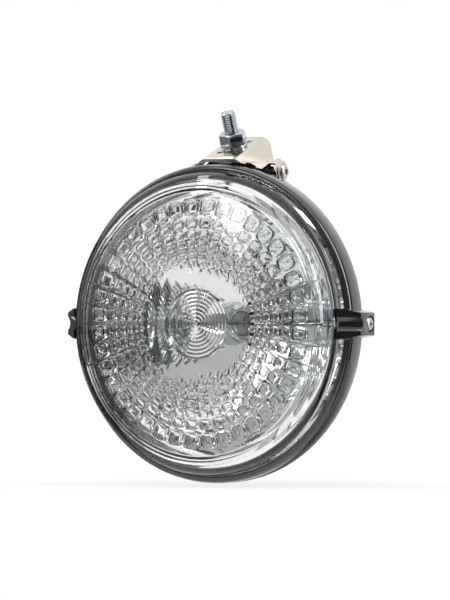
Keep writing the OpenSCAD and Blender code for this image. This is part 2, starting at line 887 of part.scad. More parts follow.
// Everything of the housing that is cut or added round the shell
module housing() {
    color("#26262a")
        at_lamp()
            difference() {
                union() {
                    housing_shell();
                    hinge_block();
                    inlet_spout();
                    back_rib_set();
                    screw_bosses();
                }
                translate([0, hinge_up, -hinge_back])
                    bar_x(sleeve_r + fixed_gap, 3 * block_half);
                translate([0, -inlet_drop, inlet_back - 1])
                    cylinder(r = grommet_r, h = 2 * inlet_r);
                translate([0, -inlet_drop, inlet_back + inlet_wall])
                    cylinder(r = inlet_r - 2, h = 2 * inlet_r);
                ring_screw_holes(screw_r + fixed_gap, screw_head_r);
            }
}

// What lies outside the middle of the bowl's wall
module outside_bowl() {
    difference() {
        children();
        translate([0, 0, bowl_front])
            sphere(r = bowl_r - wall_t / 2, $fn = 360);
    }
}

// The block that the hinge bolt passes through, widening down to the bowl
module hinge_block() {
    foot = bowl_r - 3 * block_r;
    outside_bowl()
        union() {
            translate([0, hinge_up, -hinge_back])
                rotate([0, 90, 0])
                    rotate_extrude()
                        polygon([[0, -block_half], [block_end_r, -block_half], [block_end_r, -block_outer],
                            [block_r, -block_inner], [block_r, block_inner],
                            [block_end_r, block_outer], [block_end_r, block_half], [0, block_half]]);
            translate([-block_inner, 0, 0])
                rotate([90, 0, 90])
                    linear_extrude(height = 2 * block_inner)
                        polygon([
                            [hinge_up, -hinge_back + block_r],
                            [foot, -hinge_back + block_r],
                            [foot, -hinge_back - 3 * block_r],
                            [hinge_up - 0.5 * block_r, -hinge_back - 0.86 * block_r],
                            [hinge_up, -hinge_back - 0.86 * block_r]]);
        }
}

module inlet_spout() {
    outside_bowl()
        translate([0, -inlet_drop, inlet_back])
            cylinder(r = inlet_r, h = inlet_out + inlet_r);
}

// Low ribs from the boss out over the bowl
module back_rib_set() {
    intersection() {
        outside_bowl()
            for (i = [0 : back_ribs - 1])
                rotate([0, 0, 90 + (i + 0.5) * 360 / back_ribs])
                    translate([boss_r - 1, -back_rib_t / 2, boss_h - 2 - back_d])
                        cube([bowl_r - boss_r - 10, back_rib_t, 0.6 * back_d]);
        translate([0, 0, bowl_front])
            sphere(r = bowl_r + back_rib_h, $fn = 360);
    }
}

module screw_bosses() {
    intersection() {
        translate([0, 0, -screw_back])
            difference() {
                bar_x(screw_r + screw_boss_t, 2 * (rim_r - wall_t / 2));
                bar_x(screw_r + 2 * screw_boss_t, 2 * (screw_tip - 1));
            }
        translate([-rim_r, -rim_r, rim_back])
            cube([2 * rim_r, 2 * rim_r, rim_d]);
    }
}

module cable_grommet() {
    wall_back = inlet_back;
    wall_front = wall_back + inlet_wall;
    color("black")
        at_lamp()
            translate([0, -inlet_drop, 0])
                rotate_extrude()
                    polygon([[cable_r, wall_back - grommet_out], [grommet_r + 2, wall_back - grommet_out],
                        [grommet_r + 2.5, wall_back - fixed_gap], [grommet_r - fixed_gap, wall_back - fixed_gap],
                        [grommet_r - fixed_gap, wall_front + fixed_gap], [grommet_r + 1.2, wall_front + fixed_gap],
                        [grommet_r + 0.6, wall_front + grommet_lip], [cable_r, wall_front + grommet_lip]]);
}

module hinge_sleeve() {
    color("silver")
        at_lamp()
            translate([0, hinge_up, -hinge_back])
                difference() {
                    bar_x(sleeve_r, 2 * block_half);
                    bar_x(bolt_r + turn_gap, 3 * block_half);
                }
}

// The inner side of a bent sheet, from the points of its outer side
function sheet_normal(a, b) = [b[1] - a[1], a[0] - b[0]] / norm(b - a);
function inner_side(p, t) = [for (i = [1 : len(p) - 2])
    let (m = sheet_normal(p[i - 1], p[i]), n = sheet_normal(p[i], p[i + 1]))
    p[i] + t * (m + n) / (1 + m * n)];

// Points of an arc that rounds the corner at p, between a and b
function round_corner(a, p, b, r, steps = 6) =
    let (u = (a - p) / norm(a - p), v = (b - p) / norm(b - p), half = acos(u * v) / 2,
        c = p + (u + v) / norm(u + v) * r / sin(half), s = p + u * r / tan(half) - c,
        e = p + v * r / tan(half) - c, from = atan2(s[1], s[0]),
        sweep = (atan2(e[1], e[0]) - from + 540) % 360 - 180)
    [for (i = [0 : steps]) c + r * [cos(from + sweep * i / steps), sin(from + sweep * i / steps)]];

// A path with its corners rounded, each by its own radius
function round_path(p, radii) = concat([p[0]],
    [for (i = [1 : len(p) - 2]) each round_corner(p[i - 1], p[i], p[i + 1], radii[i - 1])],
    [p[len(p) - 1]]);

// The bracket's section across: web, flares, tabs and ears, with bends in the sheet
module arch_section() {
    right = [[web_w / 2, web_up], [flare_foot, tab_up], [ear_out, tab_up], [ear_out, -ear_r - 1]];
    outer = concat([for (i = [3 : -1 : 0]) [-right[i][0], right[i][1]]], right);
    inner = concat([[-ear_in, -ear_r - 1]], inner_side(outer, sheet_t), [[ear_in, -ear_r - 1]]);
    wide = bend_r + sheet_t;
    top = round_path(outer, [wide, bend_r, wide, wide, bend_r, wide]);
    under = round_path(inner, [bend_r, wide, bend_r, bend_r, wide, bend_r]);
    polygon(concat(top, [for (i = [len(under) - 1 : -1 : 0]) under[i]]));
}

// Points of an arc about a centre
function arc(cx, cy, r, from, to, n = 8) =
    [for (i = [0 : n]) [cx + r * cos(from + (to - from) * i / n), cy + r * sin(from + (to - from) * i / n)]];

// The bracket's outline from the side: Y to the back, Z up the stud
module side_outline() {
    back = web_len / 2 - web_front;
    front = back - web_len;
    difference() {
        union() {
            circle(r = ear_r);
            polygon([[-tab_half, 0], [tab_half, 0], [tab_half, tab_up + 0.2], [back, tab_up + 0.2],
                [back, web_up + 1], [front, web_up + 1], [front, web_up - 2.4], [front + 1.4, web_up - 3.6],
                [front + 5.8, tab_up + 0.2], [-tab_half, tab_up + 0.2]]);
        }
        translate([front + notch_back, web_up - notch_down])
            circle(r = notch_r, $fn = 48);
    }
}

// The bracket's outline from above, with slanted rear edges and round rear corners
module plan_outline() {
    back = web_len / 2 - web_front;
    centre = [web_w / 2 + 1.1, back - web_corner_r];
    reach = flare_foot + 0.2;
    corner = arc(centre[0], centre[1], web_corner_r, 90 - flare_slant, 90);
    drop = (reach - corner[0][0]) * tan(flare_slant);
    side = concat([[ears_w, back - web_len], [ears_w, back], [reach, back], [reach, corner[0][1] - drop]],
        corner);
    polygon(concat(side, [for (i = [len(side) - 1 : -1 : 0]) [-side[i][0], side[i][1]]]));
}

module bracket() {
    color("#dcd4c8")
        at_bracket()
            difference() {
                intersection() {
                    translate([0, web_len, 0])
                        rotate([90, 0, 0])
                            linear_extrude(height = 2 * web_len)
                                arch_section();
                    translate([-ears_w, 0, 0])
                        rotate([90, 0, 90])
                            linear_extrude(height = 2 * ears_w)
                                side_outline();
                    translate([0, 0, -ear_r - 1])
                        linear_extrude(height = 2 * web_up)
                            plan_outline();
                }
                cylinder(r = stud_r + turn_gap, h = 2 * web_up);
                bar_x(bolt_r + fixed_gap, 2 * ears_w);
                for (side = [-1, 1])
                    translate([side * pip_x, side * pip_y, 0])
                        cylinder(r = pip_r, h = 2 * web_up);
            }
}

module hinge_bolt() {
    head_x = ear_out + hinge_washer_t + 2 * fixed_gap;
    end_x = -head_x - hinge_nut_h - 0.8;
    head_ball = (pow(bolt_head_r, 2) + pow(bolt_head_h, 2)) / (2 * bolt_head_h) + 0.4;
    socket_r = 1.5 / cos(30);
    color("silver")
        at_bracket()
            rotate([0, 90, 0])
                difference() {
                    union() {
                        translate([0, 0, end_x])
                            cylinder(r = bolt_r, h = head_x - end_x + 1);
                        intersection() {
                            translate([0, 0, head_x])
                                cylinder(r = bolt_head_r, h = bolt_head_h);
                            translate([0, 0, head_x + bolt_head_h - head_ball])
                                sphere(r = head_ball);
                        }
                    }
                    translate([0, 0, head_x + bolt_head_h - 1.8])
                        cylinder(r = socket_r, h = 4, $fn = 6);
                }
}

module hinge_nut() {
    color("silver")
        at_bracket()
            translate([-ear_out - hinge_washer_t - 2 * fixed_gap, 0, 0])
                rotate([0, -90, 0])
                    difference() {
                        hexagon(hinge_nut_af, hinge_nut_h);
                        translate([0, 0, -1])
                            cylinder(r = bolt_r + fixed_gap, h = hinge_nut_h + 2);
                    }
}

module hinge_washers() {
    color("gainsboro")
        at_bracket()
            for (side = [-1, 1])
                rotate([0, side * 90, 0])
                    translate([0, 0, ear_out + fixed_gap])
                        washer(hinge_washer_r, bolt_r + fixed_gap, hinge_washer_t);
}

// The stud: head, shank, the part inside the nut, and the free thread
module mounting_stud() {
    tip = stud_top_z + stud_free;
    nut_foot = stud_nut_z - fixed_gap;
    color("lightsteelblue")
        at_bracket()
            rotate_extrude()
                polygon([[0, stud_head_z - stud_head_t], [stud_head_r, stud_head_z - stud_head_t],
                    [stud_head_r, stud_head_z], [stud_r, stud_head_z], [stud_r, nut_foot],
                    [stud_pitch_r, nut_foot], [stud_pitch_r, stud_top_z], [stud_r, stud_top_z],
                    [stud_r, tip - stud_tip], [stud_r - stud_tip, tip], [0, tip]]);
}

module stud_nut() {
    color("slategray")
        at_bracket()
            translate([0, 0, stud_nut_z])
                rotate([0, 0, stud_nut_turn])
                    difference() {
                        hexagon(stud_nut_af, stud_nut_h);
                        translate([0, 0, -1])
                            cylinder(r = stud_pitch_r + fixed_gap, h = stud_nut_h + 2);
                    }
}

module spring_washer() {
    color("silver")
        at_bracket()
            translate([0, 0, spring_washer_z])
                difference() {
                    washer(spring_washer_r, stud_r + fixed_gap, spring_washer_t);
                    translate([0, 0, -1])
                        rotate([0, 0, -70])
                            translate([0, -0.6, 0])
                                cube([2 * spring_washer_r, 1.2, spring_washer_t + 2]);
                }
}

module flat_washer() {
    color("silver")
        at_bracket()
            translate([0, 0, flat_washer_z])
                washer(washer_r, stud_r + fixed_gap, washer_t);
}

mounting_stud();
stud_nut();
spring_washer();
flat_washer();
bracket();
hinge_bolt();
hinge_nut();
hinge_washers();
housing();
hinge_sleeve();
retaining_ring();
ring_screws();
lens();
lens_gasket();
reflector();
seat_gasket();
bulb_glass();
bulb_filament();
bulb_cap();
bulb_holder();
holder_screws();
contact_disc();
contact_pin();
contact_spring();
live_blade();
earth_blade();
cable_grommet();
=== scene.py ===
import json
import math

import bmesh
import bpy
from mathutils import Matrix, Vector

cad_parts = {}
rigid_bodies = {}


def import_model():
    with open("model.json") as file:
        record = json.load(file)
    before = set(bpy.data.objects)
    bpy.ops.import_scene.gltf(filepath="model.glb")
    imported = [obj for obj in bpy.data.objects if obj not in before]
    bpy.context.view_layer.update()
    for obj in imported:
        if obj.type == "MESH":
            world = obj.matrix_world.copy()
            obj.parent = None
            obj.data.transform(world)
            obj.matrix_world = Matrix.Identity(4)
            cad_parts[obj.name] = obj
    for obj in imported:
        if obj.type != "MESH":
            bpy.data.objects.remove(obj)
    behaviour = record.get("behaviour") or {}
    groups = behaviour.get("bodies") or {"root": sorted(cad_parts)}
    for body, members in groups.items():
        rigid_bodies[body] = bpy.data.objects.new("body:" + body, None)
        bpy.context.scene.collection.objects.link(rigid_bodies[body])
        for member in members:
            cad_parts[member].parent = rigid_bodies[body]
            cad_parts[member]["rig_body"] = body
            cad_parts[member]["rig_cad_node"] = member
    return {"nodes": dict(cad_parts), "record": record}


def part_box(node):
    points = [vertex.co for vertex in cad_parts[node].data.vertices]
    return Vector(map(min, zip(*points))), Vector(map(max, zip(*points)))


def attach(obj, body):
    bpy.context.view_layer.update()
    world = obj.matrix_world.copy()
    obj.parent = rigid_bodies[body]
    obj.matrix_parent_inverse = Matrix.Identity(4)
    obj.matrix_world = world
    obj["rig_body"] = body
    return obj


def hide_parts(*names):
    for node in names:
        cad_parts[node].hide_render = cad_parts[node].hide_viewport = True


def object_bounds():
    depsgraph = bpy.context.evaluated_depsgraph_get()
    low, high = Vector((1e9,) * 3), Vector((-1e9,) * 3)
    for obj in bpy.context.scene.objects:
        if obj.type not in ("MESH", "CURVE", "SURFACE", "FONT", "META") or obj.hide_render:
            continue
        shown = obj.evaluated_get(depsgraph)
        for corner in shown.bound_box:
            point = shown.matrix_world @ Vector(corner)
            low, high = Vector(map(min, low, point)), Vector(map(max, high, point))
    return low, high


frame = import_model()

cad_low, cad_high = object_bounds()

bl_info = {
    "name": "Tractor Work Light",
    "version": (1, 0, 0),
    "blender": (4, 5, 0),
    "location": "View3D > Sidebar > Work Light",
    "description": "Dresses the work light's solids with threads, bevels, optics and finishes",
    "category": "Object",
}

MM = 0.001

# Places in mm, from the mount's origin at the foot of the free thread

STUD_LEAN = math.radians(22)
HINGE_DOWN = 23.5                       # from the origin down the stud's axis to the hinge
HINGE_BACK, HINGE_UP = 26.6, 81.7       # the hinge, from the ring's front and the lamp's axis


def middle_point(y, z):
    """A point of the plane that halves the lamp, rounded to 0.0001 mm."""
    return Vector((0.0, round(y, 4), round(z, 4)))


HINGE = middle_point(HINGE_DOWN * math.sin(STUD_LEAN), -HINGE_DOWN * math.cos(STUD_LEAN))
LAMP = middle_point(HINGE.y - HINGE_BACK, HINGE.z - HINGE_UP)

# A piece is modelled upright about Z, and these lay it on the stud, the lamp's axis or the hinge
ON_STUD = Matrix.Rotation(STUD_LEAN, 4, "X")
ON_LAMP = Matrix.Translation(LAMP * MM) @ Matrix.Rotation(math.radians(90), 4, "X")
ON_HINGE = Matrix.Translation(HINGE * MM) @ Matrix.Rotation(math.radians(90), 4, "Y")
HERE = Matrix.Identity(4)


def linear(code):
    """An sRGB hex colour as linear red, green, blue."""
    parts = [int(code[i:i + 2], 16) / 255 for i in (1, 3, 5)]
    return tuple(c / 12.92 if c <= 0.04045 else ((c + 0.055) / 1.055) ** 2.4 for c in parts)


# Sizes and colours that a user may change


class WorkLightSizes(bpy.types.PropertyGroup):
    thread_pitch: bpy.props.FloatProperty(
        name="Stud Thread Pitch", description="Rise of the stud's thread in one turn",
        default=1.25 * MM, unit="LENGTH", precision=5)
    camera_distance: bpy.props.FloatProperty(
        name="Camera Distance", description="From the middle of the picture to the camera",
        default=3.0, unit="LENGTH")
    picture_height: bpy.props.FloatProperty(
        name="Picture Height", description="Height of what the camera sees, at the lamp",
        default=321.5 * MM, unit="LENGTH")
    floor_drop: bpy.props.FloatProperty(
        name="Floor Drop", description="From the lamp's lowest point down to the floor",
        default=2 * MM, unit="LENGTH")


class WorkLightColours(bpy.types.PropertyGroup):
    zinc: bpy.props.FloatVectorProperty(
        name="Zinc", description="Bright zinc plate on the stud, nut and washers",
        subtype="COLOR", size=3, min=0, max=1, default=linear("#C6CCD0"))
    saddle: bpy.props.FloatVectorProperty(
        name="Saddle", description="Passivated plate on the pressed bracket",
        subtype="COLOR", size=3, min=0, max=1, default=linear("#DCD4C8"))
    nickel: bpy.props.FloatVectorProperty(
        name="Nickel", description="Plate on the small bolts, nuts and clips",
        subtype="COLOR", size=3, min=0, max=1, default=linear("#C9C8C4"))
    plastic: bpy.props.FloatVectorProperty(
        name="Plastic", description="Moulded black shell and ring",
        subtype="COLOR", size=3, min=0, max=1, default=linear("#222223"))
    rubber: bpy.props.FloatVectorProperty(
        name="Rubber", description="Gaskets and grommet",
        subtype="COLOR", size=3, min=0, max=1, default=linear("#232322"))
    glass: bpy.props.FloatVectorProperty(
        name="Glass", description="Pressed glass of the lens",
        subtype="COLOR", size=3, min=0, max=1, default=linear("#FBFCFB"))
    mirror: bpy.props.FloatVectorProperty(
        name="Mirror", description="Metallised inside of the reflector",
        subtype="COLOR", size=3, min=0, max=1, default=linear("#F6F7F8"))
    brass: bpy.props.FloatVectorProperty(
        name="Brass", description="Bulb cap and terminals",
        subtype="COLOR", size=3, min=0, max=1, default=linear("#D2B16A"))
    phenolic: bpy.props.FloatVectorProperty(
        name="Phenolic", description="Insulating disc of the bulb holder",
        subtype="COLOR", size=3, min=0, max=1, default=linear("#5A3220"))
    floor: bpy.props.FloatVectorProperty(
        name="Floor", description="Studio floor", subtype="COLOR", size=3, min=0, max=1,
        default=linear("#F2F2F0"))


# Materials


def add_node(tree, kind, inputs=None, **settings):
    """A node of that kind, with its settings, and its inputs set to values or linked to outputs."""
    node = tree.nodes.new(kind)
    for name, value in settings.items():
        setattr(node, name, value)
    for name, value in (inputs or {}).items():
        if isinstance(value, bpy.types.NodeSocket):
            tree.links.new(value, node.inputs[name])
        else:
            node.inputs[name].default_value = value
    return node


def start_material(name):
    """An empty node material and its output's surface socket."""
    material = bpy.data.materials.new(name)
    material.use_nodes = True
    material.node_tree.nodes.clear()
    output = material.node_tree.nodes.new("ShaderNodeOutputMaterial")
    return material, material.node_tree, output.inputs["Surface"]


def principled(tree, surface, inputs):
    """Puts a principled shader with these inputs on the surface."""
    shader = add_node(tree, "ShaderNodeBsdfPrincipled", inputs)
    tree.links.new(shader.outputs["BSDF"], surface)


def noise(tree, grain, detail, roughness=0.5):
    """Noise fixed to the object, with its largest clouds about a grain (mm) across."""
    place = add_node(tree, "ShaderNodeTexCoord").outputs["Object"]
    cloud = add_node(tree, "ShaderNodeTexNoise", {
        "Vector": place, "Scale": 1 / (grain * MM), "Detail": detail, "Roughness": roughness})
    return cloud.outputs["Fac"]


def spread(tree, cloud, low, high):
    """A value from low to high that follows the noise, most of which lies within 0.3 to 0.7."""
    value = add_node(tree, "ShaderNodeMapRange", {
        "Value": cloud, "From Min": 0.3, "From Max": 0.7, "To Min": low, "To Max": high})
    return value.outputs["Result"]


def shaded(tree, cloud, colour, low, high):
    """The colour, made low to high times as bright by the noise."""
    dark, light = ((*(c * share for c in colour), 1.0) for share in (low, high))
    mix = add_node(tree, "ShaderNodeMix", {"Factor": cloud, "A": dark, "B": light},
                   data_type="RGBA")
    return mix.outputs["Result"]


def relief(tree, cloud, strength, depth):
    """The surface's normal, bent by the noise over a depth in mm."""
    bump = add_node(tree, "ShaderNodeBump",
                    {"Height": cloud, "Strength": strength, "Distance": depth * MM})
    return bump.outputs["Normal"]


def metal(name, colour, rough_low, rough_high, grain, strength):
    """Plated or rolled metal: its gloss and shade vary a little with the grain of the metal."""
    material, tree, surface = start_material(name)
    cloud = noise(tree, grain, 4.0, 0.6)
    fine = noise(tree, grain / 6, 2.0)
    principled(tree, surface, {
        "Base Color": shaded(tree, cloud, colour, 0.93, 1.0), "Metallic": 1.0,
        "Roughness": spread(tree, cloud, rough_low, rough_high),
        "Normal": relief(tree, fine, strength, 0.02)})
    return material


def moulded_plastic(name, colour):
    """Injection moulded plastic: a fine orange peel and a glossy skin that mirrors the room."""
    material, tree, surface = start_material(name)
    peel = noise(tree, 0.5, 2.0)
    cloud = noise(tree, 25, 3.0)
    principled(tree, surface, {
        "Base Color": shaded(tree, cloud, colour, 1.0, 1.5), "IOR": 1.6,
        "Roughness": spread(tree, cloud, 0.1, 0.16),
        "Coat Weight": 0.5, "Coat Roughness": 0.08, "Coat IOR": 1.6,
        "Normal": relief(tree, peel, 0.1, 0.03)})
    return material


def soft_rubber(name, colour):
    """Moulded rubber: matt, with a dusty bloom in patches."""
    material, tree, surface = start_material(name)
    bloom = noise(tree, 6, 5.0)
    principled(tree, surface, {
        "Base Color": shaded(tree, bloom, colour, 1.0, 2.2), "Roughness": 0.72,
        "Normal": relief(tree, bloom, 0.4, 0.05)})
    return material


def clear_glass(name, colour, wave):
    """Soda-lime glass: clear, faintly green, with slow waves in its surface."""
    material, tree, surface = start_material(name)
    waves = noise(tree, 9, 1.5)
    principled(tree, surface, {
        "Base Color": (*colour, 1.0), "Roughness": 0.0, "IOR": 1.52, "Transmission Weight": 1.0,
        "Normal": relief(tree, waves, wave, 0.1)})
    return material


def mirror_coat(name, colour):
    """A bowl lacquered and metallised in a vacuum: a mirror with slow waves in it."""
    material, tree, surface = start_material(name)
    cloud = noise(tree, 14, 2.0)
    principled(tree, surface, {
        "Base Color": (*colour, 1.0), "Metallic": 1.0,
        "Roughness": spread(tree, cloud, 0.02, 0.06),
        "Normal": relief(tree, cloud, 0.2, 0.1)})
    return material


def finishes():
    """The finish of each material slot of the record, made once."""
    colours = bpy.context.scene.work_light_colours
    recipes = {
        "zinc": (metal, "Zinc plated steel", colours.zinc, 0.12, 0.24, 2.5, 0.3),
        "saddle_steel": (metal, "Passivated steel sheet", colours.saddle, 0.16, 0.26, 9.0, 0.1),
        "bright_steel": (metal, "Nickel plated steel", colours.nickel, 0.18, 0.3, 3.0, 0.2),
        "tungsten": (metal, "Drawn tungsten", linear("#6C6C70"), 0.3, 0.5, 0.5, 0.4),
        "cap_brass": (metal, "Rolled brass", colours.brass, 0.22, 0.36, 3.0, 0.2),
        "black_plastic": (moulded_plastic, "Moulded black ABS", colours.plastic),
        "insulator": (moulded_plastic, "Phenolic board", colours.phenolic),
        "seal_rubber": (soft_rubber, "Moulded EPDM rubber", colours.rubber),
        "lens_glass": (clear_glass, "Pressed soda-lime glass", colours.glass, 0.25),
        "bulb_glass": (clear_glass, "Blown bulb glass", linear("#FCFDFD"), 0.05),
        "reflector_metal": (mirror_coat, "Metallised reflector", colours.mirror),
    }
    return {slot: bpy.data.materials.get(name) or make(name, *values)
            for slot, (make, name, *values) in recipes.items()}


# The stage, in metres

CAMERA_TURN = math.radians(30.35)               # round the lamp, to the right of its front
AIM = Vector((4.784, -14.9955, -90.7797)) * MM  # what the middle of the picture shows
SENSOR = 36                                     # width of the camera's sensor, in mm
SKY_FRONT, SKY_BACK = 0.5, 1.0                  # the sky's brightness in mirrors and glass
SKY_BLEND = 0.3                                 # how far from sideways it goes over
SKY_LIGHT = 0.65                                # its brightness as a lamp
FLOOR_RADIUS = 6
SHADOW_IN, SHADOW_OUT = 0.15, 0.24              # where the shadow on the floor fades out
SHADOW_GLOW = 0.7                               # how much of the floor's white is glow up to there
GLOW_NEAR, GLOW_FAR = 0.02, 0.2                 # depths where the mirrored floor turns white
PATCH, PATCH_IN, PATCH_OUT = (0.04, -0.2), 0.2, 0.215   # white patch before the lamp, and its edge
BEYOND_PATCH = "#808182"                        # the floor's colour round the patch


def by_ray(tree, camera, mirrored, others):
    """One value for camera rays, one for glossy and transmission rays, and one for the rest."""
    rays = add_node(tree, "ShaderNodeLightPath").outputs
    bent = add_node(tree, "ShaderNodeMath",
                    {0: rays["Is Glossy Ray"], 1: rays["Is Transmission Ray"]}, operation="MAXIMUM")
    inner = add_node(tree, "ShaderNodeMix",
                     {"Factor": bent.outputs[0], "A": others, "B": mirrored})
    outer = add_node(tree, "ShaderNodeMix",
                     {"Factor": rays["Is Camera Ray"], "A": inner.outputs["Result"], "B": camera})
    return outer.outputs["Result"]


def ramp(tree, value, start, end, low=0.0, high=1.0, **settings):
    """Goes from low to high while the value goes from start to end."""
    slope = add_node(tree, "ShaderNodeMapRange", {
        "Value": value, "From Min": start, "From Max": end, "To Min": low, "To Max": high},
        **settings)
    return slope.outputs["Result"]


class WORKLIGHT_OT_stage(bpy.types.Operator):
    """Camera, floor, background and soft lamps"""
    bl_idname = "work_light.stage"
    bl_label = "Stage"

    def add_camera(self, scene):
        sizes = scene.work_light_sizes
        out = Vector((math.sin(CAMERA_TURN), -math.cos(CAMERA_TURN), 0))
        camera = bpy.data.cameras.new("camera")
        camera.sensor_width = SENSOR
        camera.lens = SENSOR * sizes.camera_distance / sizes.picture_height
        camera.clip_end = 50
        eye = bpy.data.objects.new("camera", camera)
        scene.collection.objects.link(eye)
        eye.location = AIM + out * sizes.camera_distance
        eye.rotation_euler = out.to_track_quat("Z", "Y").to_euler()
        scene.camera = eye

    def add_sky(self, scene):
        """White for the camera, and darker towards the front in what is mirrored or refracted."""
        world = bpy.data.worlds.new("studio")
        scene.world = world
        world.use_nodes = True
        tree = world.node_tree
        tree.nodes.clear()
        way = add_node(tree, "ShaderNodeTexCoord").outputs["Generated"]
        depth = add_node(tree, "ShaderNodeSeparateXYZ", {0: way}).outputs["Y"]
        mirrored = ramp(tree, depth, -SKY_BLEND, SKY_BLEND, SKY_FRONT, SKY_BACK)
        sky = add_node(tree, "ShaderNodeBackground", {
            "Color": (1, 1, 1, 1), "Strength": by_ray(tree, 1.0, mirrored, SKY_LIGHT)})
        add_node(tree, "ShaderNodeOutputWorld", {"Surface": sky.outputs[0]})

    def add_floor(self, scene, height):
        """Paper that takes the lamp's shadow and glows white round it, so that no edge shows."""
        bpy.ops.object.select_all(action="DESELECT")
        bpy.ops.mesh.primitive_circle_add(
            vertices=96, radius=FLOOR_RADIUS, fill_type="NGON", location=(0, 0, height))
        floor = bpy.context.object
        floor.name = "floor"
        bpy.ops.object.transform_apply(location=True, rotation=True, scale=True)
        material, tree, surface = start_material("Studio floor")
        spot = add_node(tree, "ShaderNodeTexCoord").outputs["Object"]
        far = add_node(tree, "ShaderNodeVectorMath", {0: spot}, operation="LENGTH")
        fade = ramp(tree, far.outputs["Value"], SHADOW_IN, SHADOW_OUT, SHADOW_GLOW, 1.0,
                    interpolation_type="SMOOTHSTEP")
        away = add_node(tree, "ShaderNodeVectorMath", {0: spot, 1: (*PATCH, height)},
                        operation="DISTANCE")
        beyond = ramp(tree, away.outputs["Value"], PATCH_IN, PATCH_OUT)
        white = (*scene.work_light_colours.floor, 1.0)
        paper = add_node(tree, "ShaderNodeMix", {
            "Factor": beyond, "A": white, "B": (*linear(BEYOND_PATCH), 1.0)}, data_type="RGBA")
        matt = add_node(tree, "ShaderNodeBsdfDiffuse", {"Color": paper.outputs["Result"]})
        glow = add_node(tree, "ShaderNodeEmission", {"Strength": 1.0})
        depth = add_node(tree, "ShaderNodeSeparateXYZ", {0: spot}).outputs["Y"]
        lit = add_node(tree, "ShaderNodeMath", {
            0: ramp(tree, depth, GLOW_NEAR, GLOW_FAR), 1: ramp(tree, beyond, 1.0, 0.0)},
            operation="MAXIMUM")
        mix = add_node(tree, "ShaderNodeMixShader", {
            "Fac": by_ray(tree, fade, lit.outputs[0], 0.0), 1: matt.outputs[0], 2: glow.outputs[0]})
        tree.links.new(mix.outputs[0], surface)
        floor.data.materials.append(material)

    def add_flag(self, name, radius, start, end, low, high, shade):
        """Dark or grey cloth round part of the lamp, seen only in what is mirrored or refracted."""
        bpy.ops.mesh.primitive_cylinder_add(
            vertices=72, radius=radius, depth=high - low, end_fill_type="NOTHING",
            location=(0, 0, (low + high) / 2))
        wall = bpy.context.object
        wall.name = name
        bpy.ops.object.transform_apply(location=True, rotation=True, scale=True)
        bpy.ops.object.mode_set(mode="EDIT")

        def outside(middle, normal):
            return not start < math.degrees(math.atan2(middle.x, -middle.y)) < end
        pick("faces", outside)
        bpy.ops.mesh.delete(type="FACE")
        bpy.ops.object.mode_set(mode="OBJECT")
        material, tree, surface = start_material("Flag cloth " + name)
        cloth = add_node(tree, "ShaderNodeBsdfDiffuse", {"Color": (*linear(shade), 1.0)})
        tree.links.new(cloth.outputs[0], surface)
        wall.data.materials.append(material)
        wall.visible_camera = False

    def add_lamp(self, scene, name, place, width, height, turn, power, colour):
        """A rectangular lamp aimed at the work light, and turned about its own beam."""
        lamp = bpy.data.lights.new(name, "AREA")
        lamp.shape = "RECTANGLE"
        lamp.size, lamp.size_y = width, height
        lamp.energy = power
        lamp.color = linear(colour)
        holder = bpy.data.objects.new(name, lamp)
        scene.collection.objects.link(holder)
        holder.location = place
        back = Vector(place) - LAMP * MM
        aim = back.to_track_quat("Z", "Y").to_matrix()
        spin = Matrix.Rotation(math.radians(turn), 3, "Z")
        holder.rotation_euler = (aim @ spin).to_euler()
        holder.visible_camera = False

    def execute(self, context):
        scene = context.scene
        ground = cad_low[2] - scene.work_light_sizes.floor_drop
        # Name, radius, first and last turn (degrees to the right of the front), foot, top, colour
        flags = (
            ("far_flag", 3.6, -30, 75, -0.5, 0.9, "#A0A2A5"),
            ("right_flag", 3.5, 42, 92, -0.3, 1.9, "#121315"),
            ("left_flag", 0.6, -150, -95, ground, 0.1, "#6C6E70"),
            ("near_flag", 0.3, 50, 85, ground, -0.08, "#121315"))
        # Name, place, width, height, turn (degrees), power (W), colour
        lamps = (
            ("key", (-2.6, -1.6, 1.6), 2.4, 2.0, 0, 28, "#FFFFFF"),
            ("top", (0.2, -0.5, 2.4), 3.0, 2.4, 0, 12, "#FFFFFF"),
            ("strip", (1.95, 0.4, 0.9), 0.3, 2.6, 0, 20, "#F4F8FF"),
            ("rim", (-0.9, -0.1, 1.6), 1.6, 0.16, 0, 4, "#FFFFFF"),
            ("glint", (-1.18, -2.28, 0.46), 0.34, 0.1, -38, 0.9, "#FFFFFF"),
            ("halo", (-1.18, -2.32, 0.45), 0.5, 0.2, -38, 1.1, "#FFFFFF"))
        scene.view_settings.view_transform = "Standard"
        self.add_camera(scene)
        self.add_sky(scene)
        self.add_floor(scene, ground)
        for flag in flags:
            self.add_flag(*flag)
        for lamp in lamps:
            self.add_lamp(scene, *lamp)
        return {"FINISHED"}


class WORKLIGHT_OT_finishes(bpy.types.Operator):
    """Gives each solid of the frame the finish of its material slot"""
    bl_idname = "work_light.finishes"
    bl_label = "Finishes"

    def execute(self, context):
        made = finishes()
        slots = {s["node"]: s["material_slot"] for s in frame["record"]["subparts"]}
        for name, obj in frame["nodes"].items():
            if name not in slots:
                raise RuntimeError(f"no material slot for {name}")
            obj.data.materials.clear()
            obj.data.materials.append(made[slots[name]])
        return {"FINISHED"}


# Modelling helpers, with sizes in mm

WELD = 0.002                    # points nearer than this become one
FLAT = math.radians(0.5)        # faces that meet at less than this are one flat
HUB = 0.3                       # radius at which the flat ends of a turned bar start


def begin():
    """Object mode, with nothing selected."""
    if bpy.context.object and bpy.context.object.mode != "OBJECT":
        bpy.ops.object.mode_set(mode="OBJECT")
    bpy.ops.object.select_all(action="DESELECT")


def take(obj):
    """Selects one object alone and makes it active."""
    begin()
    obj.select_set(True)
    bpy.context.view_layer.objects.active = obj
    bpy.context.view_layer.update()


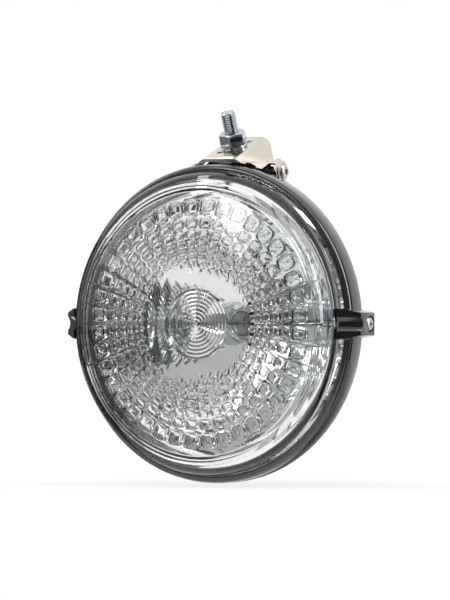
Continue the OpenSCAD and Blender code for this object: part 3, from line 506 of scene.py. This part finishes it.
def pick(kind, test):
    """In edit mode, selects the verts, edges or faces that pass the test.

    It is given their middle, in mm, and their normal, or an edge's direction.
    """
    bpy.ops.mesh.select_mode(type={"verts": "VERT", "edges": "EDGE", "faces": "FACE"}[kind])
    bpy.ops.mesh.select_all(action="DESELECT")
    mesh = bmesh.from_edit_mesh(bpy.context.object.data)
    for part in getattr(mesh, kind):
        if kind == "faces":
            middle, normal = part.calc_center_median(), part.normal
        elif kind == "edges":
            middle = (part.verts[0].co + part.verts[1].co) / 2
            normal = (part.verts[1].co - part.verts[0].co).normalized()
        else:
            middle, normal = part.co, part.normal
        if test(middle / MM, normal):
            part.select_set(True)
    mesh.select_flush_mode()
    bmesh.update_edit_mesh(bpy.context.object.data)


def stretch(x, y, z):
    """Scales what is selected about the origin."""
    bpy.ops.transform.resize(value=(x, y, z), center_override=(0, 0, 0))


def lift(height):
    """Moves what is selected up or down."""
    bpy.ops.transform.translate(value=(0, 0, height * MM))


def extrude(height):
    """Extrudes what is selected up or down."""
    bpy.ops.mesh.extrude_region_move(TRANSFORM_OT_translate={"value": (0, 0, height * MM)})


def close_up(obj):
    """Merges doubles, fills open ends and turns every face outwards."""
    take(obj)
    bpy.ops.object.mode_set(mode="EDIT")
    bpy.ops.mesh.select_mode(type="VERT")
    bpy.ops.mesh.select_all(action="SELECT")
    bpy.ops.mesh.remove_doubles(threshold=WELD * MM)
    bpy.ops.mesh.fill_holes(sides=0)
    bpy.ops.mesh.select_all(action="SELECT")
    bpy.ops.mesh.normals_make_consistent(inside=False)
    bpy.ops.object.mode_set(mode="OBJECT")
    return obj


def turned(name, profile, sides=64):
    """A body turned about Z from (radius, height) pairs, each ring extruded from the last."""
    begin()
    r, z = profile[0]
    bpy.ops.mesh.primitive_circle_add(vertices=sides, radius=r * MM, fill_type="NOTHING",
                                      location=(0, 0, 0))
    obj = bpy.context.object
    obj.name = name
    bpy.ops.object.mode_set(mode="EDIT")
    bpy.ops.mesh.select_mode(type="VERT")
    bpy.ops.mesh.select_all(action="SELECT")
    lift(z)
    for wide, high in profile[1:]:
        extrude(high - z)
        stretch(wide / r, wide / r, 1)
        r, z = wide, high
    return close_up(obj)


def turned_bar(name, profile, sides=64):
    """A turned body that reaches its axis, with flat ends."""
    return turned(name, [(HUB, profile[0][1]), *profile, (HUB, profile[-1][1])], sides)


def turned_ring(name, inner, outer, low, high, sides):
    """A flat ring."""
    return turned(name, [(inner, low), (outer, low), (outer, high), (inner, high), (inner, low)],
                  sides)


def prism(name, sides, across_flats, low, high):
    """A bar of that many flats, with a corner on +X."""
    begin()
    bpy.ops.mesh.primitive_cylinder_add(
        vertices=sides, radius=across_flats / 2 / math.cos(math.pi / sides) * MM,
        depth=(high - low) * MM, location=(0, 0, (low + high) / 2 * MM))
    obj = bpy.context.object
    obj.name = name
    corner = obj.data.vertices[0].co
    obj.rotation_euler.z = -math.atan2(corner.y, corner.x)
    bpy.ops.object.transform_apply(location=True, rotation=True, scale=True)
    return obj


def block(name, long, wide, high):
    """A block round the origin, left in edit mode with all of it selected."""
    begin()
    bpy.ops.mesh.primitive_cube_add(size=1, location=(0, 0, 0))
    obj = bpy.context.object
    obj.name = name
    bpy.ops.object.mode_set(mode="EDIT")
    bpy.ops.mesh.select_all(action="SELECT")
    stretch(long * MM, wide * MM, high * MM)
    return obj


def coil(name, profile, pitch, turns, steps, start=0.0):
    """A bar with the profile's four corners (radius, height), wound about Z from a start angle."""
    begin()
    bpy.ops.mesh.primitive_plane_add(size=1, location=(0, 0, 0))
    obj = bpy.context.object
    obj.name = name
    bpy.ops.object.mode_set(mode="EDIT")
    bpy.ops.mesh.select_all(action="SELECT")
    bpy.ops.mesh.delete(type="ONLY_FACE")
    mesh = bmesh.from_edit_mesh(obj.data)
    corners = sorted(mesh.verts, key=lambda v: math.atan2(v.co.y, v.co.x))
    for vert, (r, z) in zip(corners, profile):
        vert.co = (r * MM, 0, z * MM)
    bmesh.update_edit_mesh(obj.data)
    bpy.ops.object.mode_set(mode="OBJECT")
    wind = obj.modifiers.new("wind", "SCREW")
    whole = max(1, int(turns))
    wind.angle = 2 * math.pi * turns / whole
    wind.screw_offset = pitch * turns / whole * MM
    wind.iterations = whole
    wind.steps = wind.render_steps = steps
    wind.use_normal_calculate = True
    bpy.ops.object.modifier_apply(modifier="wind")
    obj.rotation_euler.z = start
    bpy.ops.object.transform_apply(location=True, rotation=True, scale=True)
    return close_up(obj)


def combine(obj, tool, operation):
    """Cuts, joins or trims a piece with another solid, which is used up."""
    take(obj)
    step = obj.modifiers.new("combine", "BOOLEAN")
    step.operation = operation
    step.solver = "EXACT"
    step.object = tool
    bpy.context.view_layer.update()
    bpy.ops.object.modifier_apply(modifier="combine")
    bpy.data.objects.remove(tool)
    bpy.ops.object.mode_set(mode="EDIT")
    bpy.ops.mesh.select_all(action="SELECT")
    bpy.ops.mesh.remove_doubles(threshold=WELD * MM)
    bpy.ops.mesh.dissolve_degenerate(threshold=WELD * MM)
    bpy.ops.object.mode_set(mode="OBJECT")


def soften(obj, width, segments=2, angle=35):
    """Rounds the edges that are sharper than the angle in degrees."""
    take(obj)
    step = obj.modifiers.new("soften", "BEVEL")
    step.width = width * MM
    step.segments = segments
    step.limit_method = "ANGLE"
    step.angle_limit = math.radians(angle)
    step.use_clamp_overlap = True
    bpy.context.view_layer.update()
    bpy.ops.object.modifier_apply(modifier="soften")


def joined(name, *parts):
    """Several parts as one object."""
    take(parts[0])
    for part in parts[1:]:
        part.select_set(True)
    bpy.context.view_layer.update()
    bpy.ops.object.transform_apply(location=True, rotation=True, scale=True)
    bpy.ops.object.join()
    obj = bpy.context.object
    obj.name = name
    return obj


def again(obj, place):
    """A copy with its own mesh, at another place."""
    other = obj.copy()
    other.data = obj.data.copy()
    bpy.context.scene.collection.objects.link(other)
    other.matrix_world = place
    return other


def solid_copy(node, name):
    """A copy of a CAD node with its loose triangles merged and its flats dissolved."""
    take(frame["nodes"][node])
    bpy.ops.object.duplicate()
    obj = bpy.context.object
    obj.name = name
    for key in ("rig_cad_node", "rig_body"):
        del obj[key]
    bpy.ops.object.parent_clear(type="CLEAR_KEEP_TRANSFORM")
    bpy.ops.object.mode_set(mode="EDIT")
    bpy.ops.mesh.select_all(action="SELECT")
    bpy.ops.mesh.remove_doubles(threshold=WELD * MM)
    bpy.ops.mesh.dissolve_limited(angle_limit=FLAT)
    bpy.ops.object.mode_set(mode="OBJECT")
    return obj


def across(box):
    """Lowest and highest X of a box whose corners are in metres."""
    return [corner.x / MM for corner in box]


def deliver(obj, place, body, slot, nodes, smooth=32):
    """Puts a finished piece in its place, with its finish and on its body, and hides the CAD nodes
    that it replaces.
    """
    take(obj)
    obj.matrix_world = place
    bpy.ops.object.transform_apply(location=True, rotation=True, scale=True)
    bpy.ops.object.shade_smooth_by_angle(angle=math.radians(smooth))
    obj.data.materials.clear()
    obj.data.materials.append(finishes()[slot])
    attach(obj, body)
    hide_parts(*nodes)


# The stud and what is stacked on it: heights along it, down from the foot of its free thread

STUD_RADIUS, STUD_NECK = 4.0, 3.6       # thread's outer radius, and its radius inside the nut
STUD_TOP = 11.2
STACK_GAP = 0.05                        # between the faces of stacked pieces
SHEET = 1.6                             # the bracket's thickness
BORE_RADIUS = STUD_RADIUS + 0.02        # of the nut
HOLE_RADIUS = STUD_RADIUS + 0.06        # of both washers

NUT_FLATS, NUT_TURN = 13, math.radians(47)
NUT_TOP = -0.3
NUT_FOOT = NUT_TOP - 6.5

SPRING_RADIUS = 7.1
SPRING_RISE, SPRING_TURNS = 0.33, 0.972     # the split ring's rise in one turn, and its turns
SPRING_START = math.radians(-65)
SPRING_TOP = NUT_FOOT - STACK_GAP
SPRING_FOOT = SPRING_TOP - 2.0

WASHER_RADIUS = 8
WASHER_TOP = SPRING_FOOT - SHEET - 2 * STACK_GAP
WASHER_FOOT = WASHER_TOP - 1.6

HEAD_RADIUS = 7
HEAD_TOP = WASHER_FOOT - STACK_GAP
HEAD_FOOT = HEAD_TOP - 3.0

THREAD_DEPTH = 0.6134                   # of a metric thread, as a share of its pitch
THREAD_FOOT, THREAD_TURNS = -1.3, 11    # where the ridge's middle starts, and its turns


class WORKLIGHT_OT_stud(bpy.types.Operator):
    """M8 stud with a rolled thread, its nut, split spring washer and flat washer"""
    bl_idname = "work_light.stud"
    bl_label = "Stud, Nut and Washers"

    def stud(self, pitch):
        root = STUD_RADIUS - THREAD_DEPTH * pitch
        core = turned_bar("mounting_stud", [
            (HEAD_RADIUS - 0.5, HEAD_FOOT), (HEAD_RADIUS, HEAD_FOOT + 0.5),
            (HEAD_RADIUS, HEAD_TOP - 0.5), (HEAD_RADIUS - 0.4, HEAD_TOP),
            (STUD_RADIUS, HEAD_TOP), (STUD_RADIUS, NUT_FOOT), (STUD_NECK, NUT_FOOT),
            (STUD_NECK, THREAD_FOOT + 0.1), (root, THREAD_FOOT + 0.2), (root, STUD_TOP - 0.7),
            (root - 0.7, STUD_TOP)])
        inner = root - 0.25
        crest = pitch / 8
        flank = pitch / 2 - 0.03
        ridge = coil("thread", [
            (inner, THREAD_FOOT - flank), (STUD_RADIUS, THREAD_FOOT - crest),
            (STUD_RADIUS, THREAD_FOOT + crest), (inner, THREAD_FOOT + flank)],
            pitch, THREAD_TURNS, 36)
        trim = turned_bar("trim", [
            (STUD_RADIUS + 0.02, -3), (STUD_RADIUS + 0.02, STUD_TOP - 1),
            (STUD_RADIUS - 0.9, STUD_TOP - 0.05)])
        combine(ridge, trim, "INTERSECT")
        deliver(joined("mounting_stud_threaded", core, ridge), ON_STUD, "mount", "zinc",
                ["mounting_stud"], 40)

    def nut(self):
        """Hexagon nut, turned to a cone at both ends and countersunk at the top."""
        end, rim, cone = 6.15, 7.7, 0.88
        nut = prism("stud_nut_chamfered", 6, NUT_FLATS, NUT_FOOT, NUT_TOP)
        combine(nut, turned_bar("lathe", [
            (end, NUT_FOOT - 0.01), (rim, NUT_FOOT + cone), (rim, NUT_TOP - cone),
            (end, NUT_TOP + 0.01)]), "INTERSECT")
        combine(nut, turned_bar("bore", [
            (BORE_RADIUS, NUT_FOOT - 1), (BORE_RADIUS, NUT_TOP - 0.5), (4.7, NUT_TOP + 0.2)]),
            "DIFFERENCE")
        soften(nut, 0.12, 2, 25)
        deliver(nut, ON_STUD @ Matrix.Rotation(NUT_TURN, 4, "Z"), "mount", "zinc",
                ["stud_nut"], 25)

    def spring_washer(self):
        low, high = SPRING_FOOT + 0.02, SPRING_TOP - SPRING_RISE - 0.02
        washer = coil("spring_washer_split", [
            (HOLE_RADIUS, low), (SPRING_RADIUS, low), (SPRING_RADIUS, high), (HOLE_RADIUS, high)],
            SPRING_RISE, SPRING_TURNS, 72, SPRING_START)
        soften(washer, 0.16)
        deliver(washer, ON_STUD, "mount", "zinc", ["spring_washer"])

    def flat_washer(self):
        washer = turned_ring("flat_washer_pressed", HOLE_RADIUS, WASHER_RADIUS,
                             WASHER_FOOT, WASHER_TOP, 72)
        soften(washer, 0.2)
        deliver(washer, ON_STUD, "mount", "zinc", ["flat_washer"])

    def execute(self, context):
        self.stud(context.scene.work_light_sizes.thread_pitch / MM)
        self.nut()
        self.spring_washer()
        self.flat_washer()
        return {"FINISHED"}


# The saddle and its hinge: radii and heights along the bolt

HINGE_BOLT_RADIUS, HINGE_HEAD_RADIUS, HINGE_HEAD_HEIGHT = 2.5, 4.2, 2
HINGE_HOLE_RADIUS = HINGE_BOLT_RADIUS + 0.05
HINGE_SOCKET_FLATS, HINGE_SOCKET_DEPTH = 3, 1.4
HINGE_NUT_FLATS = 8
HINGE_WASHER_RADIUS, HINGE_WASHER_THICK = 5.2, 0.8


class WORKLIGHT_OT_saddle(bpy.types.Operator):
    """Pressed bracket with rounded edges"""
    bl_idname = "work_light.saddle"
    bl_label = "Saddle Bracket"

    def execute(self, context):
        pressed = solid_copy("bracket", "bracket_pressed")
        soften(pressed, 0.28, 2, 30)
        deliver(pressed, HERE, "saddle", "saddle_steel", ["bracket"], 30)
        return {"FINISHED"}


class WORKLIGHT_OT_hinge(bpy.types.Operator):
    """Button-head hinge bolt with its socket, lock nut and washers"""
    bl_idname = "work_light.hinge"
    bl_label = "Hinge Bolt, Nut and Washers"

    def bolt(self):
        low, high = across(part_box("hinge_bolt"))
        shank, button = HINGE_BOLT_RADIUS, HINGE_HEAD_RADIUS
        head = high - HINGE_HEAD_HEIGHT
        bolt = turned_bar("hinge_bolt_socket", [
            (shank - 0.4, low), (shank, low + 0.4), (shank, head), (button, head),
            (button, head + 0.35), (button - 0.25, head + 0.95), (button - 0.8, head + 1.5),
            (button - 1.6, head + 1.85), (button - 2.3, high)], 48)
        socket = prism("socket", 6, HINGE_SOCKET_FLATS, high - HINGE_SOCKET_DEPTH, high + 1)
        combine(bolt, socket, "DIFFERENCE")
        deliver(bolt, ON_HINGE, "saddle", "bright_steel", ["hinge_bolt"], 28)

    def nut(self):
        """Lock nut: hexagon, cone and narrower collar, from its clamping face outwards."""
        low, high = across(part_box("hinge_nut"))
        nut = prism("hinge_nut_locking", 6, HINGE_NUT_FLATS, low, high)
        collar = turned_bar("collar", [
            (3.7, high + 0.01), (4.7, high - 0.55), (4.7, low + 1.3), (3.75, low + 1.1),
            (3.75, low + 0.3), (3.4, low - 0.01)], 48)
        combine(nut, collar, "INTERSECT")
        bore = turned_bar("bore", [(HINGE_HOLE_RADIUS, low - 1), (HINGE_HOLE_RADIUS, high + 1)], 48)
        combine(nut, bore, "DIFFERENCE")
        soften(nut, 0.08, 1, 25)
        deliver(nut, ON_HINGE, "saddle", "bright_steel", ["hinge_nut"], 28)

    def washers(self):
        low, high = across(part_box("hinge_washers"))
        rings = []
        for foot in (low, high - HINGE_WASHER_THICK):
            ring = turned_ring("washer", HINGE_HOLE_RADIUS, HINGE_WASHER_RADIUS,
                               foot, foot + HINGE_WASHER_THICK, 48)
            soften(ring, 0.15)
            rings.append(ring)
        deliver(joined("hinge_washers_pressed", *rings), ON_HINGE, "saddle", "bright_steel",
                ["hinge_washers"])

    def execute(self, context):
        self.bolt()
        self.nut()
        self.washers()
        return {"FINISHED"}


# The shell: radii from the lamp's axis, heights over the ring's front in the CAD

RING_RADIUS, RING_MOUTH = 85.37, 81.5       # the bead's outside and inside
GROOVE_RADIUS = 84.75
BEAD_FOOT, BEAD_TOP = -1.0, 3.6
SCREW_BACK = 7.8                            # from the ring's front to the screws' axis
SCREW_RADIUS, SCREW_HEAD_RADIUS, SCREW_HEAD_HEIGHT = 2, 3.9, 2.4
RECESS_LONG, RECESS_WIDE, RECESS_HIGH = 4.4, 0.95, 2.2
RECESS_MIDDLE = 0.3                         # from the screw's top down to the cutter's middle


class WORKLIGHT_OT_shell(bpy.types.Operator):
    """Moulded housing and retaining ring, with their corner radii and the ring's bead"""
    bl_idname = "work_light.shell"
    bl_label = "Housing and Ring"

    def bead(self):
        """The ring's front: a straight edge, a groove and a lip that leans inwards."""
        return turned("bead", [
            (RING_MOUTH, BEAD_FOOT), (RING_RADIUS, BEAD_FOOT), (RING_RADIUS, 0.5), (85.2, 0.75),
            (GROOVE_RADIUS, 1.0), (GROOVE_RADIUS, 1.4), (85.2, 1.65), (85.3, 1.85),
            (84.75, 3.05), (84.5, 3.35), (84.1, BEAD_TOP - 0.1), (RING_MOUTH + 0.5, BEAD_TOP),
            (RING_MOUTH + 0.15, BEAD_TOP - 0.1), (RING_MOUTH, BEAD_TOP - 0.4),
            (RING_MOUTH, BEAD_FOOT)], 180)

    def execute(self, context):
        ring = solid_copy("retaining_ring", "retaining_ring_moulded")
        bead = self.bead()
        bead.matrix_world = ON_LAMP
        combine(ring, bead, "UNION")
        soften(ring, 0.3, 2, 30)
        deliver(ring, HERE, "lamp_head", "black_plastic", ["retaining_ring"], 30)
        shell = solid_copy("housing", "housing_moulded")
        soften(shell, 0.35, 2, 40)
        deliver(shell, HERE, "lamp_head", "black_plastic", ["housing"], 30)
        return {"FINISHED"}


class WORKLIGHT_OT_ring_screws(bpy.types.Operator):
    """Pan-head cross-recess screws that hold the ring's lugs"""
    bl_idname = "work_light.ring_screws"
    bl_label = "Ring Screws"

    def screw(self, top):
        """A screw with a domed head and a pointed tip, driven down along Z."""
        foot = top - SCREW_HEAD_HEIGHT
        shank, head = SCREW_RADIUS, SCREW_HEAD_RADIUS
        return turned("screw", [
            (0.3, foot - 12), (shank - 0.8, foot - 11.2), (shank, foot - 10.2), (shank, foot),
            (head - 0.2, foot), (head, foot + 0.3), (head, foot + 0.9), (head - 0.25, foot + 1.5),
            (head - 0.8, foot + 2.0), (head - 1.7, foot + 2.3), (0.3, top)], 48)

    def cut_slot(self, screw, top, turn):
        """One of the two tapered slots of the cross recess."""
        blade = block("blade", RECESS_LONG, RECESS_WIDE, RECESS_HIGH)
        pick("faces", lambda middle, normal: normal.z < -0.9)
        stretch(0.45, 0.7, 1)
        bpy.ops.object.mode_set(mode="OBJECT")
        blade.location.z = (top - RECESS_MIDDLE) * MM
        blade.rotation_euler.z = turn
        bpy.ops.object.transform_apply(location=True, rotation=True, scale=True)
        combine(screw, blade, "DIFFERENCE")

    def execute(self, context):
        top = across(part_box("ring_screws"))[1]
        screw = self.screw(top)
        for turn in (0, math.pi / 2):
            self.cut_slot(screw, top, turn)
        at = ON_LAMP @ Matrix.Translation((0, 0, -SCREW_BACK * MM))
        half_turn = Matrix.Rotation(math.pi, 4, "Z")
        lay = Matrix.Rotation(math.radians(90), 4, "Y")
        other = again(screw, at @ half_turn @ lay)
        screw.matrix_world = at @ lay
        deliver(joined("ring_screws_recessed", screw, other), HERE, "lamp_head", "bright_steel",
                ["ring_screws"], 28)
        return {"FINISHED"}


# The lens: radii from the lamp's axis, heights over the ring's front in the CAD

DRUM_RADIUS, DRUM_WALL = 81.2, 5.0
SHOULDER, SHOULDER_IN, SHOULDER_UP = 12.0, 9.0, 7.0     # its radii and its centre's height
SHOULDER_STEPS = 10
FLANGE_RADIUS, FLANGE_TOP, FLANGE_FOOT = 83.5, -1.6, -3.3
INNER_RADIUS = DRUM_RADIUS - DRUM_WALL
OUTER_EDGE, INNER_EDGE = DRUM_RADIUS - SHOULDER, INNER_RADIUS - SHOULDER_IN
DOME, DOME_CENTRE, GLASS = 600.58, -577.58, 3.0         # its radius, centre and wall
DOME_RADII = (14, 28, 42, 56)                           # where its curve has a point
POLE = 0.4                                              # radius of the flat at its middle
STEP_RADII, STEPS_FROM = (74.3, 72.5, 70.6), 11.5       # fine steps inside the shoulder

DIVISION = 9                            # degrees from one cushion of a row to the next
FIELD_CELLS = 4                         # divisions of each side field, with a rib at each bound
SIDE_CUSHIONS = 180 // DIVISION - FIELD_CELLS
# Each row of cushions: its radius, and a cushion's length, width, depth and crown
ROWS = ((62.3, 8.8, 7.8, 4.3, 1.0), (53.6, 6.0, 6.4, 3.7, 0.7), (47.64, 4.7, 5.6, 3.0, 0.6),
        (42.66, 3.8, 5.0, 2.4, 0.5), (38.49, 3.1, 4.5, 1.9, 0.45), (34.98, 2.6, 4.1, 1.5, 0.4))
CUSHION_ROOT = 1.5                      # how far a cushion reaches into the glass
CUSHION_CORNER = 0.3                    # radius, as a share of the cushion's smaller side
# A crown's rounding: insets as shares of half the smaller side, drops as shares of the crown
CROWN_STEPS = ((0.16, 0.45), (0.26, 0.35), (0.3, 0.2))
CELL_LENGTH, CELL_DEPTH = 0.96, 0.6     # of a side field's cell, as shares of its row's cushion
CELL_GAP = 1.9                          # from one cell to the next, where the rib stands

RIB_LONG, RIB_WIDE, RIB_HIGH = 40.6, 1.5, 4.4
RIB_START, RIB_MIDDLE = 33.7, 54.1      # radii of its inner end and its middle
RIB_SINK = 1.4                          # from the glass's inner face down to the rib's middle
RIB_DROP = 2.7                          # how much deeper it is at its outer end

STAR_RADIUS, STAR_VALLEY = 33.6, 31.2   # radii of the teeth's tips and of their valleys
STAR_DEPTH, STAR_HEIGHT = 0.9, 2.4      # below the inner face, and in all
EYE_RINGS, EYE_PITCH = 9, 2.1
EYE_ROOT = 1.1                          # how far it reaches up into the star plate


def dome(r, radius):
    """Height of a dome of that radius, at a distance r from the axis."""
    return DOME_CENTRE + math.sqrt(radius ** 2 - r * r)


def inner_face(r):
    """Height of the glass's inner face."""
    return dome(r, DOME - GLASS)


STAR_FOOT = inner_face(STAR_RADIUS) - STAR_DEPTH


def around(degrees):
    """A turn about the lens's axis."""
    return Matrix.Rotation(math.radians(degrees), 4, "Z")


def cushion(name, long, wide, deep, crown):
    """A pressed cushion: a round-cornered block with a crowned underside, rooted in the glass."""
    small = min(long, wide)
    obj = block(name, long, wide, deep + CUSHION_ROOT)
    lift((CUSHION_ROOT - deep) / 2)
    pick("edges", lambda middle, along: abs(along.z) > 0.9)
    bpy.ops.mesh.bevel(offset=small * CUSHION_CORNER * MM, segments=3, affect="EDGES")
    for inset, drop in CROWN_STEPS:
        pick("faces", lambda middle, normal: normal.z < -0.95 and abs(middle.x) < 0.1)
        bpy.ops.mesh.inset(thickness=inset * small / 2 * MM, depth=0)
        lift(-crown * drop)
    bpy.ops.object.mode_set(mode="OBJECT")
    return obj


class WORKLIGHT_OT_lens(bpy.types.Operator):
    """Pressed glass drum with cushions, ribbed side fields, star plate and stepped eye"""
    bl_idname = "work_light.lens"
    bl_label = "Lens"

    def shell(self):
        """Drum, shoulder and dome: outside from the pole to the flange, and back inside."""
        turns = [math.radians(90 - 90 / SHOULDER_STEPS * i) for i in range(1, SHOULDER_STEPS + 1)]

        def shoulder(middle, radius):
            return [(middle + radius * math.cos(turn), SHOULDER_UP + radius * math.sin(turn))
                    for turn in turns]
        outer = [(r, dome(r, DOME)) for r in (POLE, *DOME_RADII, OUTER_EDGE)]
        outer += shoulder(OUTER_EDGE, SHOULDER)
        rim = [(DRUM_RADIUS, FLANGE_TOP), (FLANGE_RADIUS, FLANGE_TOP),
               (FLANGE_RADIUS, FLANGE_FOOT), (INNER_RADIUS, FLANGE_FOOT)]
        curve = reversed(shoulder(INNER_EDGE, SHOULDER_IN))
        inner = [(r, z) for r, z in curve if z < STEPS_FROM]
        for r in STEP_RADII:
            height = SHOULDER_UP + math.sqrt(SHOULDER_IN ** 2 - (r - INNER_EDGE) ** 2)
            inner += [(r + 0.25, height - 0.1), (r, height - 0.75), (r - 0.35, height - 0.15)]
        inner += [(r, inner_face(r)) for r in (INNER_EDGE, *reversed(DOME_RADII), POLE)]
        return turned("lens_pressed", outer + rim + inner, 180)

    def star(self):
        """The plate in the middle, with one tooth in each division."""
        begin()
        bpy.ops.mesh.primitive_circle_add(
            vertices=2 * 360 // DIVISION, radius=STAR_RADIUS * MM, fill_type="NGON",
            location=(0, 0, 0))
        obj = bpy.context.object
        bpy.ops.object.mode_set(mode="EDIT")

        def valley(middle, normal):
            return round(math.degrees(math.atan2(middle.y, middle.x)) / (DIVISION / 2)) % 2 == 1
        pick("verts", valley)
        stretch(STAR_VALLEY / STAR_RADIUS, STAR_VALLEY / STAR_RADIUS, 1)
        bpy.ops.mesh.select_all(action="SELECT")
        lift(STAR_FOOT)
        extrude(STAR_HEIGHT)
        bpy.ops.object.mode_set(mode="OBJECT")
        return close_up(obj)

    def eye(self):
        """Rings like saw teeth inside a round wall, on the star plate."""
        profile = [(0.25, STAR_FOOT + EYE_ROOT), (0.25, STAR_FOOT - 0.5)]
        for i in range(1, EYE_RINGS + 1):
            r = i * EYE_PITCH
            profile += [(r - 1.55, STAR_FOOT - 0.75), (r, STAR_FOOT - 0.05)]
        profile += [(19.1, STAR_FOOT - 0.9), (20.1, STAR_FOOT - 0.9), (20.6, STAR_FOOT + EYE_ROOT)]
        return turned("eye", profile, 128)

    def rib(self, turn):
        """A rib of the side field, wedge-shaped across, and deeper towards the drum's wall."""
        rib = block("rib", RIB_LONG, RIB_WIDE, RIB_HIGH)
        pick("faces", lambda middle, normal: normal.z < -0.9)
        stretch(0.96, 0.35, 1)
        pick("verts", lambda middle, normal: middle.x > 0)
        lift(-RIB_DROP)
        bpy.ops.object.mode_set(mode="OBJECT")
        height = inner_face(RIB_START) - RIB_SINK
        rib.matrix_world = turn @ Matrix.Translation((RIB_MIDDLE * MM, 0, height * MM))
        return rib

    def row(self, name, r, sizes, angles):
        """Copies of one cushion, at a radius and at these angles."""
        one = cushion(name, *sizes)
        seat = Matrix.Translation((r * MM, 0, inner_face(r) * MM))
        copies = [again(one, around(angle) @ seat) for angle in angles]
        bpy.data.objects.remove(one)
        return copies

    def side_field(self):
        """Ribs and the shallow cells between them, on the right side."""
        ends = FIELD_CELLS / 2
        parts = [self.rib(around(DIVISION * (i - ends))) for i in range(FIELD_CELLS + 1)]
        angles = [DIVISION * (i - ends + 0.5) for i in range(FIELD_CELLS)]
        for r, long, wide, deep, crown in ROWS:
            width = math.radians(DIVISION) * r - CELL_GAP
            sizes = (long * CELL_LENGTH, width, deep * CELL_DEPTH, crown)
            parts += self.row("cell", r, sizes, angles)
        return joined("field", *parts)

    def cushions(self):
        """The rows of cushions above and below the side fields."""
        first = DIVISION * (FIELD_CELLS + 1) / 2
        angles = [first + DIVISION * i + half for half in (0, 180) for i in range(SIDE_CUSHIONS)]
        parts = []
        for r, *sizes in ROWS:
            parts += self.row("knob", r, sizes, angles)
        return joined("knobs", *parts)

    def execute(self, context):
        glass = self.shell()
        combine(glass, self.star(), "UNION")
        combine(glass, self.eye(), "UNION")
        field = self.side_field()
        other = again(field, around(180) @ field.matrix_world)
        combine(glass, joined("fields", field, other), "UNION")
        combine(glass, self.cushions(), "UNION")
        deliver(glass, ON_LAMP, "lamp_head", "lens_glass", ["lens"], 30)
        return {"FINISHED"}


# Panel, registration and the run

STEPS = (WORKLIGHT_OT_stage, WORKLIGHT_OT_finishes, WORKLIGHT_OT_stud, WORKLIGHT_OT_saddle,
         WORKLIGHT_OT_hinge, WORKLIGHT_OT_shell, WORKLIGHT_OT_ring_screws, WORKLIGHT_OT_lens)


class WORKLIGHT_PT_panel(bpy.types.Panel):
    bl_label = "Work Light"
    bl_idname = "WORKLIGHT_PT_panel"
    bl_space_type = "VIEW_3D"
    bl_region_type = "UI"
    bl_category = "Work Light"

    def draw(self, context):
        for step in STEPS:
            self.layout.operator(step.bl_idname)
        for group in (context.scene.work_light_sizes, context.scene.work_light_colours):
            for name in group.bl_rna.properties.keys():
                if name not in ("rna_type", "name"):
                    self.layout.prop(group, name)


CLASSES = (WorkLightSizes, WorkLightColours, *STEPS, WORKLIGHT_PT_panel)


def register():
    for cls in CLASSES:
        bpy.utils.register_class(cls)
    bpy.types.Scene.work_light_sizes = bpy.props.PointerProperty(type=WorkLightSizes)
    bpy.types.Scene.work_light_colours = bpy.props.PointerProperty(type=WorkLightColours)


def unregister():
    del bpy.types.Scene.work_light_colours
    del bpy.types.Scene.work_light_sizes
    for cls in reversed(CLASSES):
        bpy.utils.unregister_class(cls)


def main():
    register()
    for step in STEPS:
        family, name = step.bl_idname.split(".")
        getattr(getattr(bpy.ops, family), name)()
    bpy.context.view_layer.update()


if __name__ == "__main__":
    main()
